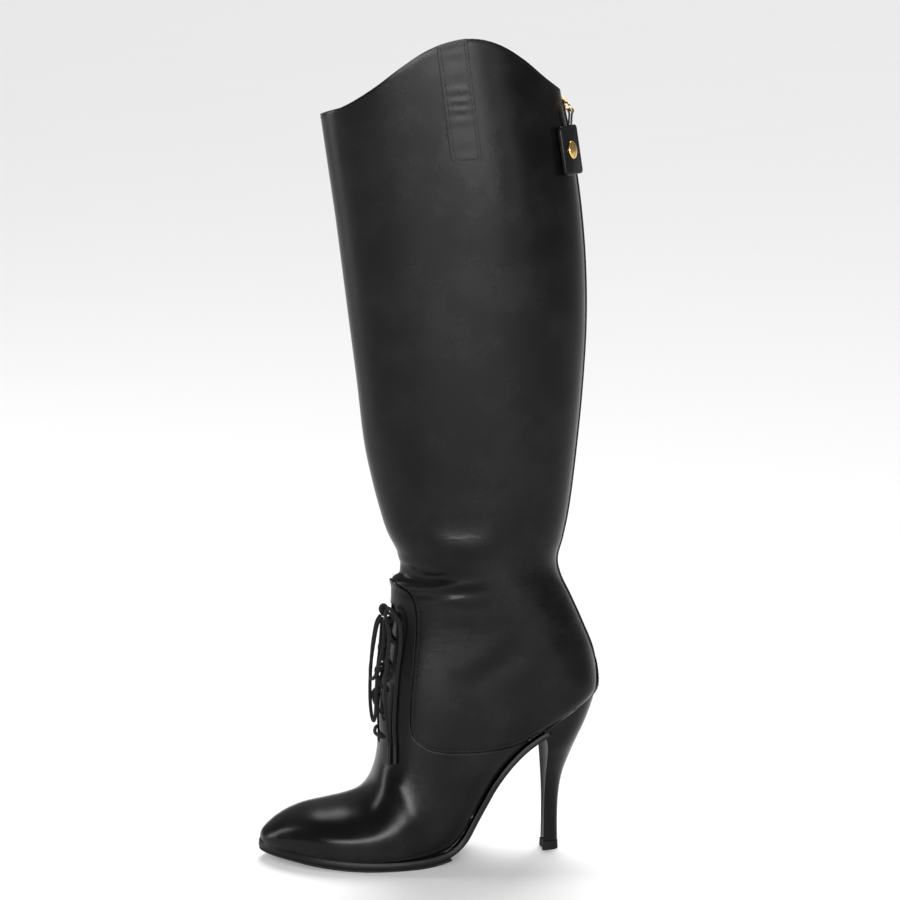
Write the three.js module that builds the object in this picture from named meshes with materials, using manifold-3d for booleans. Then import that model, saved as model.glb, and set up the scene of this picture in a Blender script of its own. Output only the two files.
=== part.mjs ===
// A woman's knee-high dress boot for the left foot, high heeled, laced over the instep and zipped up the back.
// Millimetres. +Z is up, the toe points to -X and the outer side of the leg faces -Y.
// The origin is the centre of the heel tip's underside, on the floor.
import * as THREE from "three";
import { mergeVertices } from "three/addons/utils/BufferGeometryUtils.js";
import Module from "manifold-3d";

const wasm = await Module();
wasm.setup();

// Driving dimensions of the last and the leg
const bootLength = 207.7;
const heelOverhang = 28.3;
const heelHeight = 103;
const toeSpring = 6.4;
const instepHeight = 82.3;
const ballWidth = 76;
const anklePinch = 25.1;
const calfDepth = 145;
const calfWidth = 88;
const shaftHeight = 323;

// Leather, sole and heel
const upperWall = 2;
const overlayWall = 1;
const fitGap = 0.3;
const outsoleThickness = 3;
const halfSoleThickness = 1.6;
const shankThickness = 2.2;
const treadFlat = 0.35;
const soleMargin = 1.8;
const waistMargin = 0.3;
const insoleThickness = 2;
const lastingMargin = 11;
const heelTipHeight = 6;
const heelTipDepth = 10.4;
const heelTipWidth = 11.2;

// Collar
const collarRise = 49;
const collarBackRise = 12;
const innerCollarSwell = 3;

// Front slit with its lace
const slitWidth = 12;
const slitBottom = 74;
const slitTop = 160;
const eyeletPairs = 6;
const eyeletHole = 3;
const eyeletFromEdge = 7;
const tongueThickness = 1.6;
const tongueWidth = 50;
const laceDiameter = 2.2;

// Back zip
const zipSlot = 9;
const zipBottom = 123;
const tapeThickness = 0.9;
const tapeWidth = 26;
const chainWidth = 5.6;
const chainProud = 0.4;
const sliderLength = 8.4;
const sliderWidth = 7.4;
const archHeight = 2.9;
const archLength = 5.6;
const archWidth = 1.8;
const archRim = 0.9;
const linkWire = 1.2;
const linkWidth = 5.2;
const linkReach = 15.5;
const linkHang = 13.5;
const loopWidth = 2.8;
const loopStrip = 0.8;
const tagWidth = 23.5;
const tagHeight = 29.5;
const tagThickness = 2.4;
const tagDrop = 33.5;
const tagSide = 18;
const studDiameter = 11;
const studHeight = 1.9;

// Pull strap on the outer side, and the back stay
const strapWidth = 18;
const strapLength = 71;
const strapLean = 9;
const strapThickness = 1.2;
const strapPlace = 0.5;
const stayHeight = 20;
const stayWidth = 26;

// Levels and places that follow from the sizes
const toeX = heelOverhang - bootLength;
const treadLevel = 2 * fitGap + outsoleThickness + halfSoleThickness - treadFlat;
const crookLevel = heelHeight + instepHeight;
const ankleBackX = heelOverhang - anklePinch;
const crookX = toeX + 0.415 * bootLength;
const calfFlare = calfDepth - (ankleBackX - crookX);

// Sections of the foot, from the toe's tip to the ankle. Each lies in a plane through a point of the bottom
// or back line and a point of the top or front line.
// sole: place of the lower point along the boot; spring and rise: its height in toe springs and heel heights
// top: place of the upper point along the boot; topRise and lift: its height in heel heights and insteps
// swing: how far the section lies to the inner side; outer and inner: half widths in ball widths
// belly: where the widest level lies between the two points; crown and seat: roundness of the two ends,
// 2 for an ellipse and more for a squarer end
const footSections = [
  // sole, spring, rise, top, topRise, lift, swing, outer, inner, belly, crown, seat
  [0.0, 1.4, 0.0, 0.0, 0.0, 0.168, 0.066, 0.0, 0.0, 0.5, 2.0, 2.0],
  [0.0034, 1.055, 0.0, 0.0034, 0.0, 0.198, 0.065, 0.06, 0.06, 0.46, 2.0, 3.0],
  [0.013, 0.9, 0.0, 0.013, 0.0, 0.226, 0.062, 0.12, 0.12, 0.44, 2.1, 4.0],
  [0.0289, 0.836, 0.0, 0.0289, 0.0, 0.259, 0.057, 0.18, 0.178, 0.42, 2.2, 5.0],
  [0.0515, 0.773, 0.0, 0.0515, 0.0, 0.3, 0.05, 0.243, 0.24, 0.4, 2.2, 6.0],
  [0.0886, 0.648, 0.0, 0.0886, 0.0, 0.35, 0.039, 0.32, 0.314, 0.38, 2.2, 6.5],
  [0.1358, 0.461, 0.0, 0.1358, 0.0, 0.39, 0.026, 0.396, 0.386, 0.36, 2.2, 7.0],
  [0.193, 0.258, 0.0, 0.193, 0.0, 0.4155, 0.016, 0.461, 0.448, 0.34, 2.2, 7.0],
  [0.2595, 0.1, 0.0, 0.2547, 0.0, 0.4496, 0.007, 0.506, 0.482, 0.33, 2.15, 7.0],
  [0.3317, 0.02, 0.0, 0.298, 0.0, 0.5006, 0.0, 0.524, 0.476, 0.33, 2.1, 7.0],
  [0.3991, 0.0, 0.0, 0.3255, 0.0, 0.5905, 0.0, 0.516, 0.445, 0.34, 2.1, 7.0],
  [0.4593, 0.0, 0.004, 0.3409, 0.0, 0.6999, 0.0, 0.487, 0.408, 0.36, 2.1, 7.0],
  [0.5099, 0.0, 0.018, 0.3491, 0.0, 0.8117, 0.0, 0.455, 0.39, 0.38, 2.0, 6.5],
  [0.5527, 0.0, 0.05, 0.3515, 0.06, 0.8605, 0.0, 0.434, 0.386, 0.4, 2.0, 6.0],
  [0.5879, 0.0, 0.1167, 0.3495, 0.16, 0.87, 0.0, 0.421, 0.384, 0.41, 2.0, 5.5],
  [0.6163, 0.0, 0.2196, 0.3495, 0.28, 0.853, 0.0, 0.414, 0.387, 0.42, 2.0, 5.5],
  [0.6452, 0.0, 0.3316, 0.3553, 0.4, 0.838, 0.0, 0.414, 0.391, 0.42, 2.0, 5.5],
  [0.6793, 0.0, 0.458, 0.363, 0.52, 0.827, 0.0, 0.418, 0.397, 0.42, 2.0, 5.5],
  [0.7232, 0.0, 0.5782, 0.3707, 0.64, 0.81, 0.0, 0.42, 0.402, 0.42, 2.0, 5.5],
  [0.779, 0.0, 0.6882, 0.3794, 0.76, 0.792, 0.0, 0.422, 0.405, 0.42, 2.0, 5.5],
  [0.8493, 0.0, 0.784, 0.3871, 0.86, 0.789, 0.0, 0.424, 0.41, 0.43, 2.0, 5.4],
  [0.9225, 0.0, 0.8808, 0.3919, 0.94, 0.792, 0.0, 0.428, 0.416, 0.45, 2.0, 4.8],
  [0.9793, 0.0, 0.9755, 0.393, 1.0, 0.808, 0.0, 0.434, 0.424, 0.46, 2.0, 3.8],
  [1.0, 0.0, 1.061, 0.3945, 1.0, 0.881, 0.0, 0.442, 0.434, 0.47, 2.0, 2.8],
];

// Sections of the leg, from the ankle to above the collar.
// back and front: height of the two ends above the crook, in shaft heights; backOut and frontOut: how far
// they stand out behind the ankle and before the crook, in calf flares; outer and inner: half widths in
// calf widths
const legSections = [
  // back, front, backOut, frontOut, outer, inner, belly, crown, seat
  [-0.1774, -0.0149, 0.47, 0.041, 0.396, 0.39, 0.48, 2.0, 2.15],
  [-0.1248, 0.0, 0.334, 0.0, 0.402, 0.398, 0.48, 1.95, 2.1],
  [-0.0721, 0.0161, 0.177, 0.033, 0.407, 0.404, 0.48, 1.95, 2.1],
  [-0.0288, 0.0362, 0.041, 0.103, 0.411, 0.409, 0.48, 1.95, 2.1],
  [0.0053, 0.061, 0.0, 0.173, 0.416, 0.415, 0.48, 1.9, 2.1],
  [0.0455, 0.0981, 0.068, 0.249, 0.425, 0.425, 0.48, 1.9, 2.1],
  [0.1043, 0.16, 0.144, 0.356, 0.441, 0.441, 0.48, 1.85, 2.1],
  [0.2003, 0.2374, 0.222, 0.459, 0.466, 0.466, 0.48, 1.85, 2.1],
  [0.3241, 0.3489, 0.3, 0.543, 0.489, 0.489, 0.48, 1.85, 2.1],
  [0.448, 0.4542, 0.346, 0.63, 0.5, 0.5, 0.48, 1.85, 2.1],
  [0.5563, 0.5594, 0.337, 0.716, 0.502, 0.502, 0.48, 1.85, 2.1],
  [0.6585, 0.6585, 0.284, 0.798, 0.5, 0.5, 0.48, 1.85, 2.1],
  [0.7576, 0.7576, 0.193, 0.891, 0.495, 0.495, 0.48, 1.85, 2.1],
  [0.8505, 0.8474, 0.068, 0.975, 0.489, 0.489, 0.48, 1.85, 2.1],
  [0.9217, 0.9217, -0.025, 1.037, 0.484, 0.484, 0.48, 1.85, 2.1],
  [1.02, 1.02, -0.13, 1.12, 0.477, 0.477, 0.48, 1.85, 2.1],
];

// Rise of the outer collar, in collar rises, at even steps from the front of the leg to the back
const collarWave = [0.0, 0.16, 0.37, 0.61, 0.81, 0.92, 0.95, 0.87, 0.69, 0.45, 0.245];

// The two tables as one list of sections in millimetres
function footSection([sole, spring, rise, top, topRise, lift, swing, outer, inner, belly, crown, seat]) {
  return {
    backX: toeX + sole * bootLength,
    backZ: treadLevel + spring * toeSpring + rise * (heelHeight - treadLevel),
    frontX: toeX + top * bootLength,
    frontZ: topRise * heelHeight + lift * instepHeight,
    swing: swing * ballWidth,
    outer: outer * ballWidth,
    inner: inner * ballWidth,
    belly,
    crown,
    seat,
  };
}
function legSection([back, front, backOut, frontOut, outer, inner, belly, crown, seat]) {
  return {
    backX: ankleBackX + backOut * calfFlare,
    backZ: crookLevel + back * shaftHeight,
    frontX: crookX - frontOut * calfFlare,
    frontZ: crookLevel + front * shaftHeight,
    swing: 0,
    outer: outer * calfWidth,
    inner: inner * calfWidth,
    belly,
    crown,
    seat,
  };
}
const sections = [...footSections.map(footSection), ...legSections.map(legSection)];
const lastSection = sections.length - 1;

// A smooth value between the entries of a list, and one of a section's columns between the sections
function smoothValue(list, place) {
  const i = Math.max(0, Math.min(Math.floor(place), list.length - 2));
  const f = place - i;
  const [b, c] = [list[i], list[i + 1]];
  const a = i > 0 ? list[i - 1] : 2 * b - c;
  const d = i + 2 < list.length ? list[i + 2] : 2 * c - b;
  return b + 0.5 * f * (c - a + f * (2 * a - 5 * b + 4 * c - d + f * (3 * (b - c) + d - a)));
}
const columns = {};
for (const key of Object.keys(sections[0])) columns[key] = sections.map((row) => row[key]);
const column = (key, place) => smoothValue(columns[key], place);

// A point of the last. place runs over the sections, and turn goes round: 0 at the front or top, a quarter
// at the outer side, a half at the back or bottom, three quarters at the inner side.
function lastPoint(place, turn) {
  const angle = 2 * Math.PI * turn;
  const c = Math.cos(angle);
  const s = Math.sin(angle);
  const belly = column("belly", place);
  const power = 2 / (c >= 0 ? column("crown", place) : column("seat", place));
  const reach = Math.abs(c) ** power;
  const along = c >= 0 ? belly + (1 - belly) * reach : belly * (1 - reach);
  const half = s >= 0 ? -column("outer", place) : column("inner", place);
  const back = [column("backX", place), column("backZ", place)];
  const front = [column("frontX", place), column("frontZ", place)];
  return new THREE.Vector3(
    back[0] + (front[0] - back[0]) * along,
    column("swing", place) + half * Math.abs(s) ** power,
    back[1] + (front[1] - back[1]) * along,
  );
}

// The outward direction of the last's surface at the same place
const probe = 0.02;
function lastNormal(place, turn) {
  if (place < probe) return new THREE.Vector3(-1, 0, 0);
  const high = Math.min(place + probe, lastSection);
  const alongLast = lastPoint(high, turn).sub(lastPoint(place - probe, turn));
  const roundLast = lastPoint(place, turn + probe / 4).sub(lastPoint(place, turn - probe / 4));
  return roundLast.cross(alongLast).normalize();
}
function formPoint(place, turn, offset) {
  return lastPoint(place, turn).addScaledVector(lastNormal(place, turn), offset);
}

// Solids from rings of points, each ring with as many points as the next
function loft(rings) {
  const count = rings[0].length;
  const positions = rings.flat().flatMap((p) => [p.x, p.y, p.z]);
  const index = [];
  for (let r = 0; r + 1 < rings.length; r++)
    for (let i = 0; i < count; i++) {
      const j = (i + 1) % count;
      const [a, b, c, d] = [r * count + i, r * count + j, (r + 1) * count + j, (r + 1) * count + i];
      index.push(a, b, c, a, c, d);
    }
  for (const [ring, flip] of [[0, true], [rings.length - 1, false]]) {
    const middle = positions.length / 3;
    const centre = rings[ring].reduce((sum, p) => sum.add(p), new THREE.Vector3()).divideScalar(count);
    positions.push(centre.x, centre.y, centre.z);
    for (let i = 0; i < count; i++) {
      const [a, b] = [ring * count + i, ring * count + ((i + 1) % count)];
      index.push(...(flip ? [b, a, middle] : [a, b, middle]));
    }
  }
  const geometry = new THREE.BufferGeometry();
  geometry.setAttribute("position", new THREE.Float32BufferAttribute(positions, 3));
  geometry.setIndex(index);
  return solidOf(geometry);
}
function solidOf(geometry) {
  const bare = geometry.clone();
  bare.deleteAttribute("normal");
  bare.deleteAttribute("uv");
  const merged = mergeVertices(bare, 1e-4);
  const all = merged.index.array;
  const build = (order) => {
    const corners = [];
    for (let i = 0; i < all.length; i += 3) {
      const [a, b, c] = order.map((k) => all[i + k]);
      if (a !== b && b !== c && c !== a) corners.push(a, b, c);
    }
    return new wasm.Manifold(
      new wasm.Mesh({
        numProp: 3,
        vertProperties: merged.attributes.position.array,
        triVerts: new Uint32Array(corners),
      }),
    );
  };
  const solid = build([0, 1, 2]);
  return solid.volume() > 0 ? solid : build([0, 2, 1]);
}

// The last as a filled body, grown or shrunk by an offset
const ringPoints = 22;
const outerPlaces = [
  0, 1, 2, 3.5, 5, 6.5, 8, 9.5, 11, 12, 13, 14.5, 16, 18, 20, 22, 23, 24, 25, 26, 27, 28, 29.5, 31, 33, 35, 37, 39,
];
const innerPlaces = [0, 1, 2.5, 4.5, 7, 9.5, 12, 13, 14.5, 16, 18, 20, 22, 23, 24, 25, 26, 27, 28, 30, 33, 36, 39];
const forms = new Map();
function form(offset) {
  if (!forms.has(offset)) {
    const rings = (offset < 0 ? innerPlaces : outerPlaces).map((place) =>
      Array.from({ length: ringPoints }, (unused, i) => formPoint(place, i / ringPoints, offset)),
    );
    forms.set(offset, loft(rings));
  }
  return forms.get(offset);
}

// An outline in one plane pushed straight through, across the boot or from the back
function across(outline, fromY, toY) {
  const shape = new THREE.Shape(outline.map(([x, z]) => new THREE.Vector2(x, z)));
  const body = new THREE.ExtrudeGeometry(shape, { depth: toY - fromY, bevelEnabled: false });
  body.rotateX(Math.PI / 2);
  body.translate(0, toY, 0);
  return solidOf(body);
}

// A meshed node from a solid
function node(name, solid, material) {
  const mesh = solid.getMesh();
  const geometry = new THREE.BufferGeometry();
  geometry.setAttribute("position", new THREE.Float32BufferAttribute(mesh.vertProperties, 3));
  geometry.setIndex(new THREE.Uint32BufferAttribute(mesh.triVerts, 1));
  geometry.computeVertexNormals();
  const made = new THREE.Mesh(geometry, material);
  made.name = name;
  return made;
}

// Finishes
function finish(color, roughness, metalness = 0) {
  return new THREE.MeshStandardMaterial({ color, roughness, metalness });
}
const leather = finish(0x0b0b0c, 0.36);
const soleLeather = finish(0x090909, 0.3);
const rubber = finish(0x0e0e0e, 0.7);
const lining = finish(0x151414, 0.8);
const zipCloth = finish(0x0a0a0a, 0.9);
const brass = finish(0xc9962e, 0.25, 1);
const cotton = finish(0x080808, 0.8);

// Collar: everything above the wavy edge is cut away, higher on the outer side
const sideReach = calfWidth;
const frontCollarX = crookX - calfFlare;
const backCollarX = ankleBackX + 0.07 * calfFlare;
const frontCollarZ = crookLevel + shaftHeight - collarRise;
function collarHeight(x, outer) {
  const share = (x - frontCollarX) / (backCollarX - frontCollarX);
  const level = Math.max(0, Math.min(1, share));
  if (outer) return frontCollarZ + collarRise * smoothValue(collarWave, level * (collarWave.length - 1));
  return frontCollarZ + collarBackRise * level + innerCollarSwell * Math.sin(Math.PI * level);
}
function aboveCollar(outer) {
  const steps = 18;
  const top = frontCollarZ + 2 * collarRise;
  const edge = [];
  for (let i = 0; i <= steps; i++) {
    const x = frontCollarX + ((backCollarX - frontCollarX) * i) / steps;
    edge.push([x, collarHeight(x, outer)]);
  }
  const outline = [
    [frontCollarX - calfFlare, edge[0][1]],
    ...edge,
    [backCollarX + calfFlare, edge[steps][1]],
    [backCollarX + calfFlare, top],
    [frontCollarX - calfFlare, top],
  ];
  return across(outline, outer ? -sideReach : 0, outer ? 0 : sideReach);
}
const collarCut = aboveCollar(true).add(aboveCollar(false));

// The line of the sole, from before the toe to behind the heel, with its running length
const soleRows = sections.slice(3, 23);
const toeLead = 8;
const heelLead = 14;
function beyond(from, to, distance) {
  const step = new THREE.Vector2(to.backX - from.backX, to.backZ - from.backZ).setLength(distance);
  return { backX: to.backX + step.x, backZ: to.backZ + step.y };
}
const soleKnots = [
  beyond(soleRows[1], soleRows[0], toeLead),
  ...soleRows,
  beyond(soleRows[soleRows.length - 2], soleRows[soleRows.length - 1], heelLead),
];
const soleFineness = 8;
const soleTrack = [];
for (let i = 0; i <= (soleKnots.length - 1) * soleFineness; i++) {
  const place = i / soleFineness;
  const x = smoothValue(soleKnots.map((k) => k.backX), place);
  const z = smoothValue(soleKnots.map((k) => k.backZ), place);
  const before = soleTrack[soleTrack.length - 1];
  soleTrack.push({ x, z, run: before ? before.run + Math.hypot(x - before.x, z - before.z) : 0 });
}
function soleSpot(run, side, height) {
  let i = 1;
  while (i < soleTrack.length - 1 && soleTrack[i].run < run) i++;
  const [a, b] = [soleTrack[i - 1], soleTrack[i]];
  const f = (run - a.run) / (b.run - a.run);
  const along = new THREE.Vector2(b.x - a.x, b.z - a.z).normalize();
  return new THREE.Vector3(
    a.x + (b.x - a.x) * f - along.y * height,
    side,
    a.z + (b.z - a.z) * f + along.x * height,
  );
}
function runOf(point) {
  let best = soleTrack[0];
  const gap = (t) => Math.hypot(t.x - point.x, t.z - point.z);
  for (const t of soleTrack) if (gap(t) < gap(best)) best = t;
  return best.run;
}

// The feather edge of the last, laid out flat: running length and side, for both edges of the sole
const featherTurn = 0.125;
const breastPlace = 20.1;
const tipHalf = 0.8;
function featherPlaces(toPlace) {
  const places = [0, 0.5, 1, 1.5];
  for (let place = 2; place < toPlace; place++) places.push(place);
  return [...places, toPlace];
}
function featherEdge(place, outer, margin) {
  const flat = (at) => {
    const point = lastPoint(Math.max(at, 0), outer ? 0.5 - featherTurn : 0.5 + featherTurn);
    return new THREE.Vector2(runOf(point), point.y);
  };
  const tip = flat(0);
  if (place === 0) return new THREE.Vector2(tip.x - margin, tip.y + (outer ? -tipHalf : tipHalf));
  const tangent = flat(place + 0.4).sub(flat(place - 0.4)).normalize();
  const away = outer ? new THREE.Vector2(tangent.y, -tangent.x) : new THREE.Vector2(-tangent.y, tangent.x);
  return flat(place).addScaledVector(away, margin);
}
// A layer of the sole between two heights over the sole line; bevel draws its lower edge in
function soleLayer({ toPlace, margin, high, low, bevel, extra = 0 }) {
  const at = (value, place) => (typeof value === "function" ? value(place) : value);
  const rings = featherPlaces(toPlace).map((place) => {
    const [m, top, bottom] = [at(margin, place), at(high, place), at(low, place)];
    const edge = (outer, inset, height) => {
      const flat = featherEdge(place, outer, m - inset);
      return soleSpot(flat.x + (place === toPlace ? extra : 0), flat.y, height);
    };
    const waist = bottom + (top - bottom) * 0.35;
    return [
      edge(true, 0, top),
      edge(true, 0, waist),
      edge(true, bevel, bottom),
      edge(false, bevel, bottom),
      edge(false, 0, waist),
      edge(false, 0, top),
    ];
  });
  return loft(rings);
}
const smoothStep = (from, to, value) => {
  const t = Math.max(0, Math.min(1, (value - from) / (to - from)));
  return t * t * (3 - 2 * t);
};
const waistStart = 11.5;
const waistEnd = 15;
const soleBottom = (place) =>
  -fitGap - outsoleThickness + (outsoleThickness - shankThickness) * smoothStep(waistStart, waistEnd, place);
const soleEdge = (place) => soleMargin + (waistMargin - soleMargin) * smoothStep(waistStart, waistEnd, place);
const soleLip = 1.2;
const outsoleBlank = (grow) =>
  soleLayer({
    toPlace: breastPlace,
    margin: (place) => soleEdge(place) + grow,
    high: soleLip + grow,
    low: (place) => soleBottom(place) - grow,
    bevel: 0.7,
    extra: grow,
  });
const outsole = outsoleBlank(0).subtract(form(fitGap));

const halfSolePlace = 12.7;
const floorDepth = 2 * heelOverhang;
const belowFloor = across(
  [[toeX - floorDepth, 0], [toeX - floorDepth, -floorDepth], [floorDepth, -floorDepth], [floorDepth, 0]],
  -sideReach,
  sideReach,
);
const halfSole = soleLayer({
  toPlace: halfSolePlace,
  margin: soleMargin - 0.5,
  high: -2 * fitGap - outsoleThickness,
  low: -2 * fitGap - outsoleThickness - halfSoleThickness,
  bevel: 0.8,
}).subtract(belowFloor);

const insideWall = upperWall + fitGap;
const insole = soleLayer({
  toPlace: 22,
  margin: 6,
  high: insideWall + insoleThickness,
  low: 0,
  bevel: 0,
  extra: heelLead,
}).intersect(form(-insideWall - fitGap));

// Where the sole closes the upper, the wall ends in a margin turned under the insole
const underOpening = soleLayer({
  toPlace: 21,
  margin: -lastingMargin,
  high: 2 * upperWall,
  low: -2 * upperWall,
  bevel: 0,
});

// A spot on the front or the back, found by its side and height, with the outward direction there
function spot(front, side, height) {
  let place = front ? 14 : 30;
  let turn = 0.05;
  const turnOf = () => (front ? (side > 0 ? 1 - turn : turn) : side > 0 ? 0.5 + turn : 0.5 - turn);
  for (let pass = 0; pass < 60; pass++) {
    const point = lastPoint(place, turnOf());
    place += Math.max(-1, Math.min(1, (height - point.z) / 18));
    turn += Math.max(-0.02, Math.min(0.02, (Math.abs(side) - Math.abs(point.y)) / 260));
    turn = Math.max(0, turn);
  }
  return { point: lastPoint(place, turnOf()), away: lastNormal(place, turnOf()) };
}
function lifted(front, side, height, lift) {
  const { point, away } = spot(front, side, height);
  return point.addScaledVector(away, lift);
}

// An outline seen from the front or back, pushed along the boot
function along(outline, fromX, toX) {
  const shape = new THREE.Shape(outline.map(([y, z]) => new THREE.Vector2(y, z)));
  const body = new THREE.ExtrudeGeometry(shape, { depth: toX - fromX, bevelEnabled: false });
  body.rotateX(Math.PI / 2);
  body.rotateZ(Math.PI / 2);
  body.translate(fromX, 0, 0);
  return solidOf(body);
}
function slot(width, bottom, top) {
  const radius = width / 2;
  const arc = (centre, from) =>
    Array.from({ length: 7 }, (unused, i) => {
      const angle = from + (Math.PI * i) / 6;
      return [radius * Math.cos(angle), centre + radius * Math.sin(angle)];
    });
  return [...arc(top - radius, 0), ...arc(bottom + radius, Math.PI)];
}

// The slit over the instep and the lace holes beside it
const slitCut = along(slot(slitWidth, slitBottom, slitTop), crookX - calfFlare, crookX + calfFlare / 2);
const eyeletSide = slitWidth / 2 + eyeletFromEdge;
const eyeletLow = slitBottom + 5;
const eyeletHigh = slitTop - 8;
const eyeletHeights = Array.from(
  { length: eyeletPairs },
  (unused, i) => eyeletLow + ((eyeletHigh - eyeletLow) * i) / (eyeletPairs - 1),
);
function eyeletCut(side, height) {
  const inner = lifted(true, side, height, -2 * upperWall);
  const outer = lifted(true, side, height, 2 * upperWall);
  return rod(inner, outer, eyeletHole / 2, 6);
}
function rod(from, to, radius, sides) {
  const body = new THREE.CylinderGeometry(radius, radius, from.distanceTo(to), sides);
  const turn = new THREE.Quaternion().setFromUnitVectors(
    new THREE.Vector3(0, 1, 0),
    to.clone().sub(from).normalize(),
  );
  body.applyQuaternion(turn);
  const middle = from.clone().add(to).divideScalar(2);
  body.translate(middle.x, middle.y, middle.z);
  return solidOf(body);
}
const join = (solids) => solids.reduce((all, next) => all.add(next));
const eyeletCuts = join(
  eyeletHeights.flatMap((height) => [eyeletCut(-eyeletSide, height), eyeletCut(eyeletSide, height)]),
);

// Zip slot down the back
const zipTop = frontCollarZ + collarBackRise;
const zipCut = along(slot(zipSlot, zipBottom, zipTop + collarRise), backCollarX - calfFlare / 2, backCollarX + calfFlare);

const upper = form(0)
  .subtract(form(-upperWall))
  .subtract(collarCut)
  .subtract(underOpening)
  .subtract(slitCut)
  .subtract(eyeletCuts)
  .subtract(zipCut);

// The forepart's leather lies over the quarter. Its edge climbs beside the lace and runs back along the waist.
// place along the boot, and height in crook levels
const vampEdge = [
  [0.295, 0.985],
  [0.373, 0.957],
  [0.404, 0.935],
  [0.433, 0.91],
  [0.445, 0.882],
  [0.45, 0.835],
  [0.448, 0.766],
  [0.442, 0.697],
  [0.436, 0.628],
  [0.43, 0.56],
  [0.427, 0.49],
  [0.433, 0.449],
  [0.451, 0.423],
  [0.481, 0.402],
  [0.517, 0.392],
  [0.578, 0.388],
  [0.639, 0.389],
  [0.699, 0.397],
  [0.748, 0.408],
  [0.779, 0.42],
  [0.804, 0.44],
  [0.899, 0.45],
];
const vampOutline = [
  ...vampEdge.map(([place, height]) => [toeX + place * bootLength, height * crookLevel]),
  [toeX + 0.9 * bootLength, -floorDepth],
  [toeX - floorDepth, -floorDepth],
  [toeX - floorDepth, 0.985 * crookLevel],
];
const overlay = (thickness) => form(fitGap + thickness).subtract(form(fitGap));
const soleGap = soleLayer({
  toPlace: 22,
  margin: 12,
  high: soleLip + 2 * fitGap,
  low: -4 * outsoleThickness,
  bevel: 0,
  extra: heelLead,
});
// Tongue behind the slit, inside the wall
const tongueOutline = [
  [toeX, slitBottom - 9],
  [crookX + 16, slitBottom - 9],
  [crookX + 16, slitTop + 18],
  [toeX, slitTop + 18],
];
const tongue = form(-insideWall)
  .subtract(form(-insideWall - tongueThickness))
  .intersect(across(tongueOutline, -tongueWidth / 2, tongueWidth / 2));

// Heel block: level sections from the tip to the seat.
// height in heel heights; back and breast: where its back and front lie, in heel overhangs;
// half: half width, and hollow: depth of the hollow breast, both in heel widths
const heelWidth = 52;
const heelSections = [
  // height, back, breast, half, hollow
  [0.06, 0.18, -0.166, 0.104, 0.02],
  [0.2, 0.174, -0.158, 0.104, 0.024],
  [0.35, 0.198, -0.155, 0.132, 0.032],
  [0.48, 0.275, -0.155, 0.21, 0.05],
  [0.6, 0.425, -0.155, 0.325, 0.07],
  [0.7, 0.575, -0.18, 0.44, 0.08],
  [0.79, 0.735, -0.27, 0.492, 0.06],
  [0.88, 0.87, -0.33, 0.5, 0.0],
  [0.97, 0.975, -0.33, 0.5, 0.0],
  [1.04, 1.005, -0.33, 0.5, 0.0],
];
const heelRings = 14;
const heelBackSteps = 12;
const heelBreastSteps = 4;
function heelRing(back, breast, half, hollow, level) {
  const ring = [];
  for (let i = 0; i <= heelBackSteps; i++) {
    const angle = (Math.PI * i) / heelBackSteps - Math.PI / 2;
    ring.push(new THREE.Vector3(breast + (back - breast) * Math.cos(angle) ** 0.85, half * Math.sin(angle), level));
  }
  for (let i = 1; i < heelBreastSteps; i++) {
    const side = 1 - (2 * i) / heelBreastSteps;
    ring.push(new THREE.Vector3(breast + hollow * (1 - side * side), half * side, level));
  }
  return ring;
}
const heelColumns = [0, 1, 2, 3, 4].map((c) => heelSections.map((row) => row[c]));
const heelStretch = (heelHeight - heelTipHeight) / (1 - heelSections[0][0]);
function heelBlank(grow) {
  const rings = [];
  for (let i = 0; i < heelRings; i++) {
    const place = (i * (heelSections.length - 1)) / (heelRings - 1);
    const [height, back, breast, half, hollow] = heelColumns.map((list) => smoothValue(list, place));
    rings.push(
      heelRing(
        back * heelOverhang + grow,
        breast * heelOverhang - grow,
        half * heelWidth + grow,
        hollow * heelWidth,
        heelTipHeight + (height - heelSections[0][0]) * heelStretch,
      ),
    );
  }
  return loft(rings);
}
const heelLip = 2.6;
const aboveSeat = soleLayer({
  toPlace: 22,
  margin: 30,
  high: 4 * floorDepth,
  low: heelLip,
  bevel: 0,
  extra: heelLead,
});
const heelBlock = heelBlank(0).subtract(form(fitGap)).subtract(outsoleBlank(fitGap)).subtract(aboveSeat);
const heelTip = loft(
  [0, 0.5, 1].map((share) =>
    heelRing(
      heelTipDepth / 2 + 0.25 * (1 - share),
      -heelTipDepth / 2 - 0.25 * (1 - share),
      heelTipWidth / 2 + 0.25 * (1 - share),
      0.02 * heelWidth,
      share * (heelTipHeight - fitGap),
    ),
  ),
);

const vamp = overlay(overlayWall)
  .intersect(across(vampOutline, -sideReach, sideReach))
  .subtract(soleGap)
  .subtract(slitCut)
  .subtract(eyeletCuts)
  .subtract(heelBlank(fitGap));

// Pull strap sewn to the outer side, from the collar down
const strapTopX = frontCollarX + strapPlace * (backCollarX - frontCollarX);
const strapTopZ = collarHeight(strapTopX, true);
const strapCorner = strapWidth / 4;
function strapOutline() {
  const [left, right] = [strapTopX - strapWidth / 2, strapTopX + strapWidth / 2];
  const bottom = strapTopZ - strapLength;
  const turn = (x, from) =>
    Array.from({ length: 5 }, (unused, i) => {
      const angle = from + (Math.PI * i) / 8;
      return [x + strapCorner * Math.cos(angle), bottom + strapCorner + strapCorner * Math.sin(angle)];
    });
  const upright = [
    [left, strapTopZ + strapCorner],
    ...turn(left + strapCorner, Math.PI),
    ...turn(right - strapCorner, 1.5 * Math.PI),
    [right, strapTopZ + strapCorner],
  ];
  return upright.map(([x, z]) => [x + (strapLean * (strapTopZ - z)) / strapLength, z]);
}
const pullStrap = overlay(strapThickness)
  .intersect(across(strapOutline(), -sideReach, 0))
  .subtract(collarCut);

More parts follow.
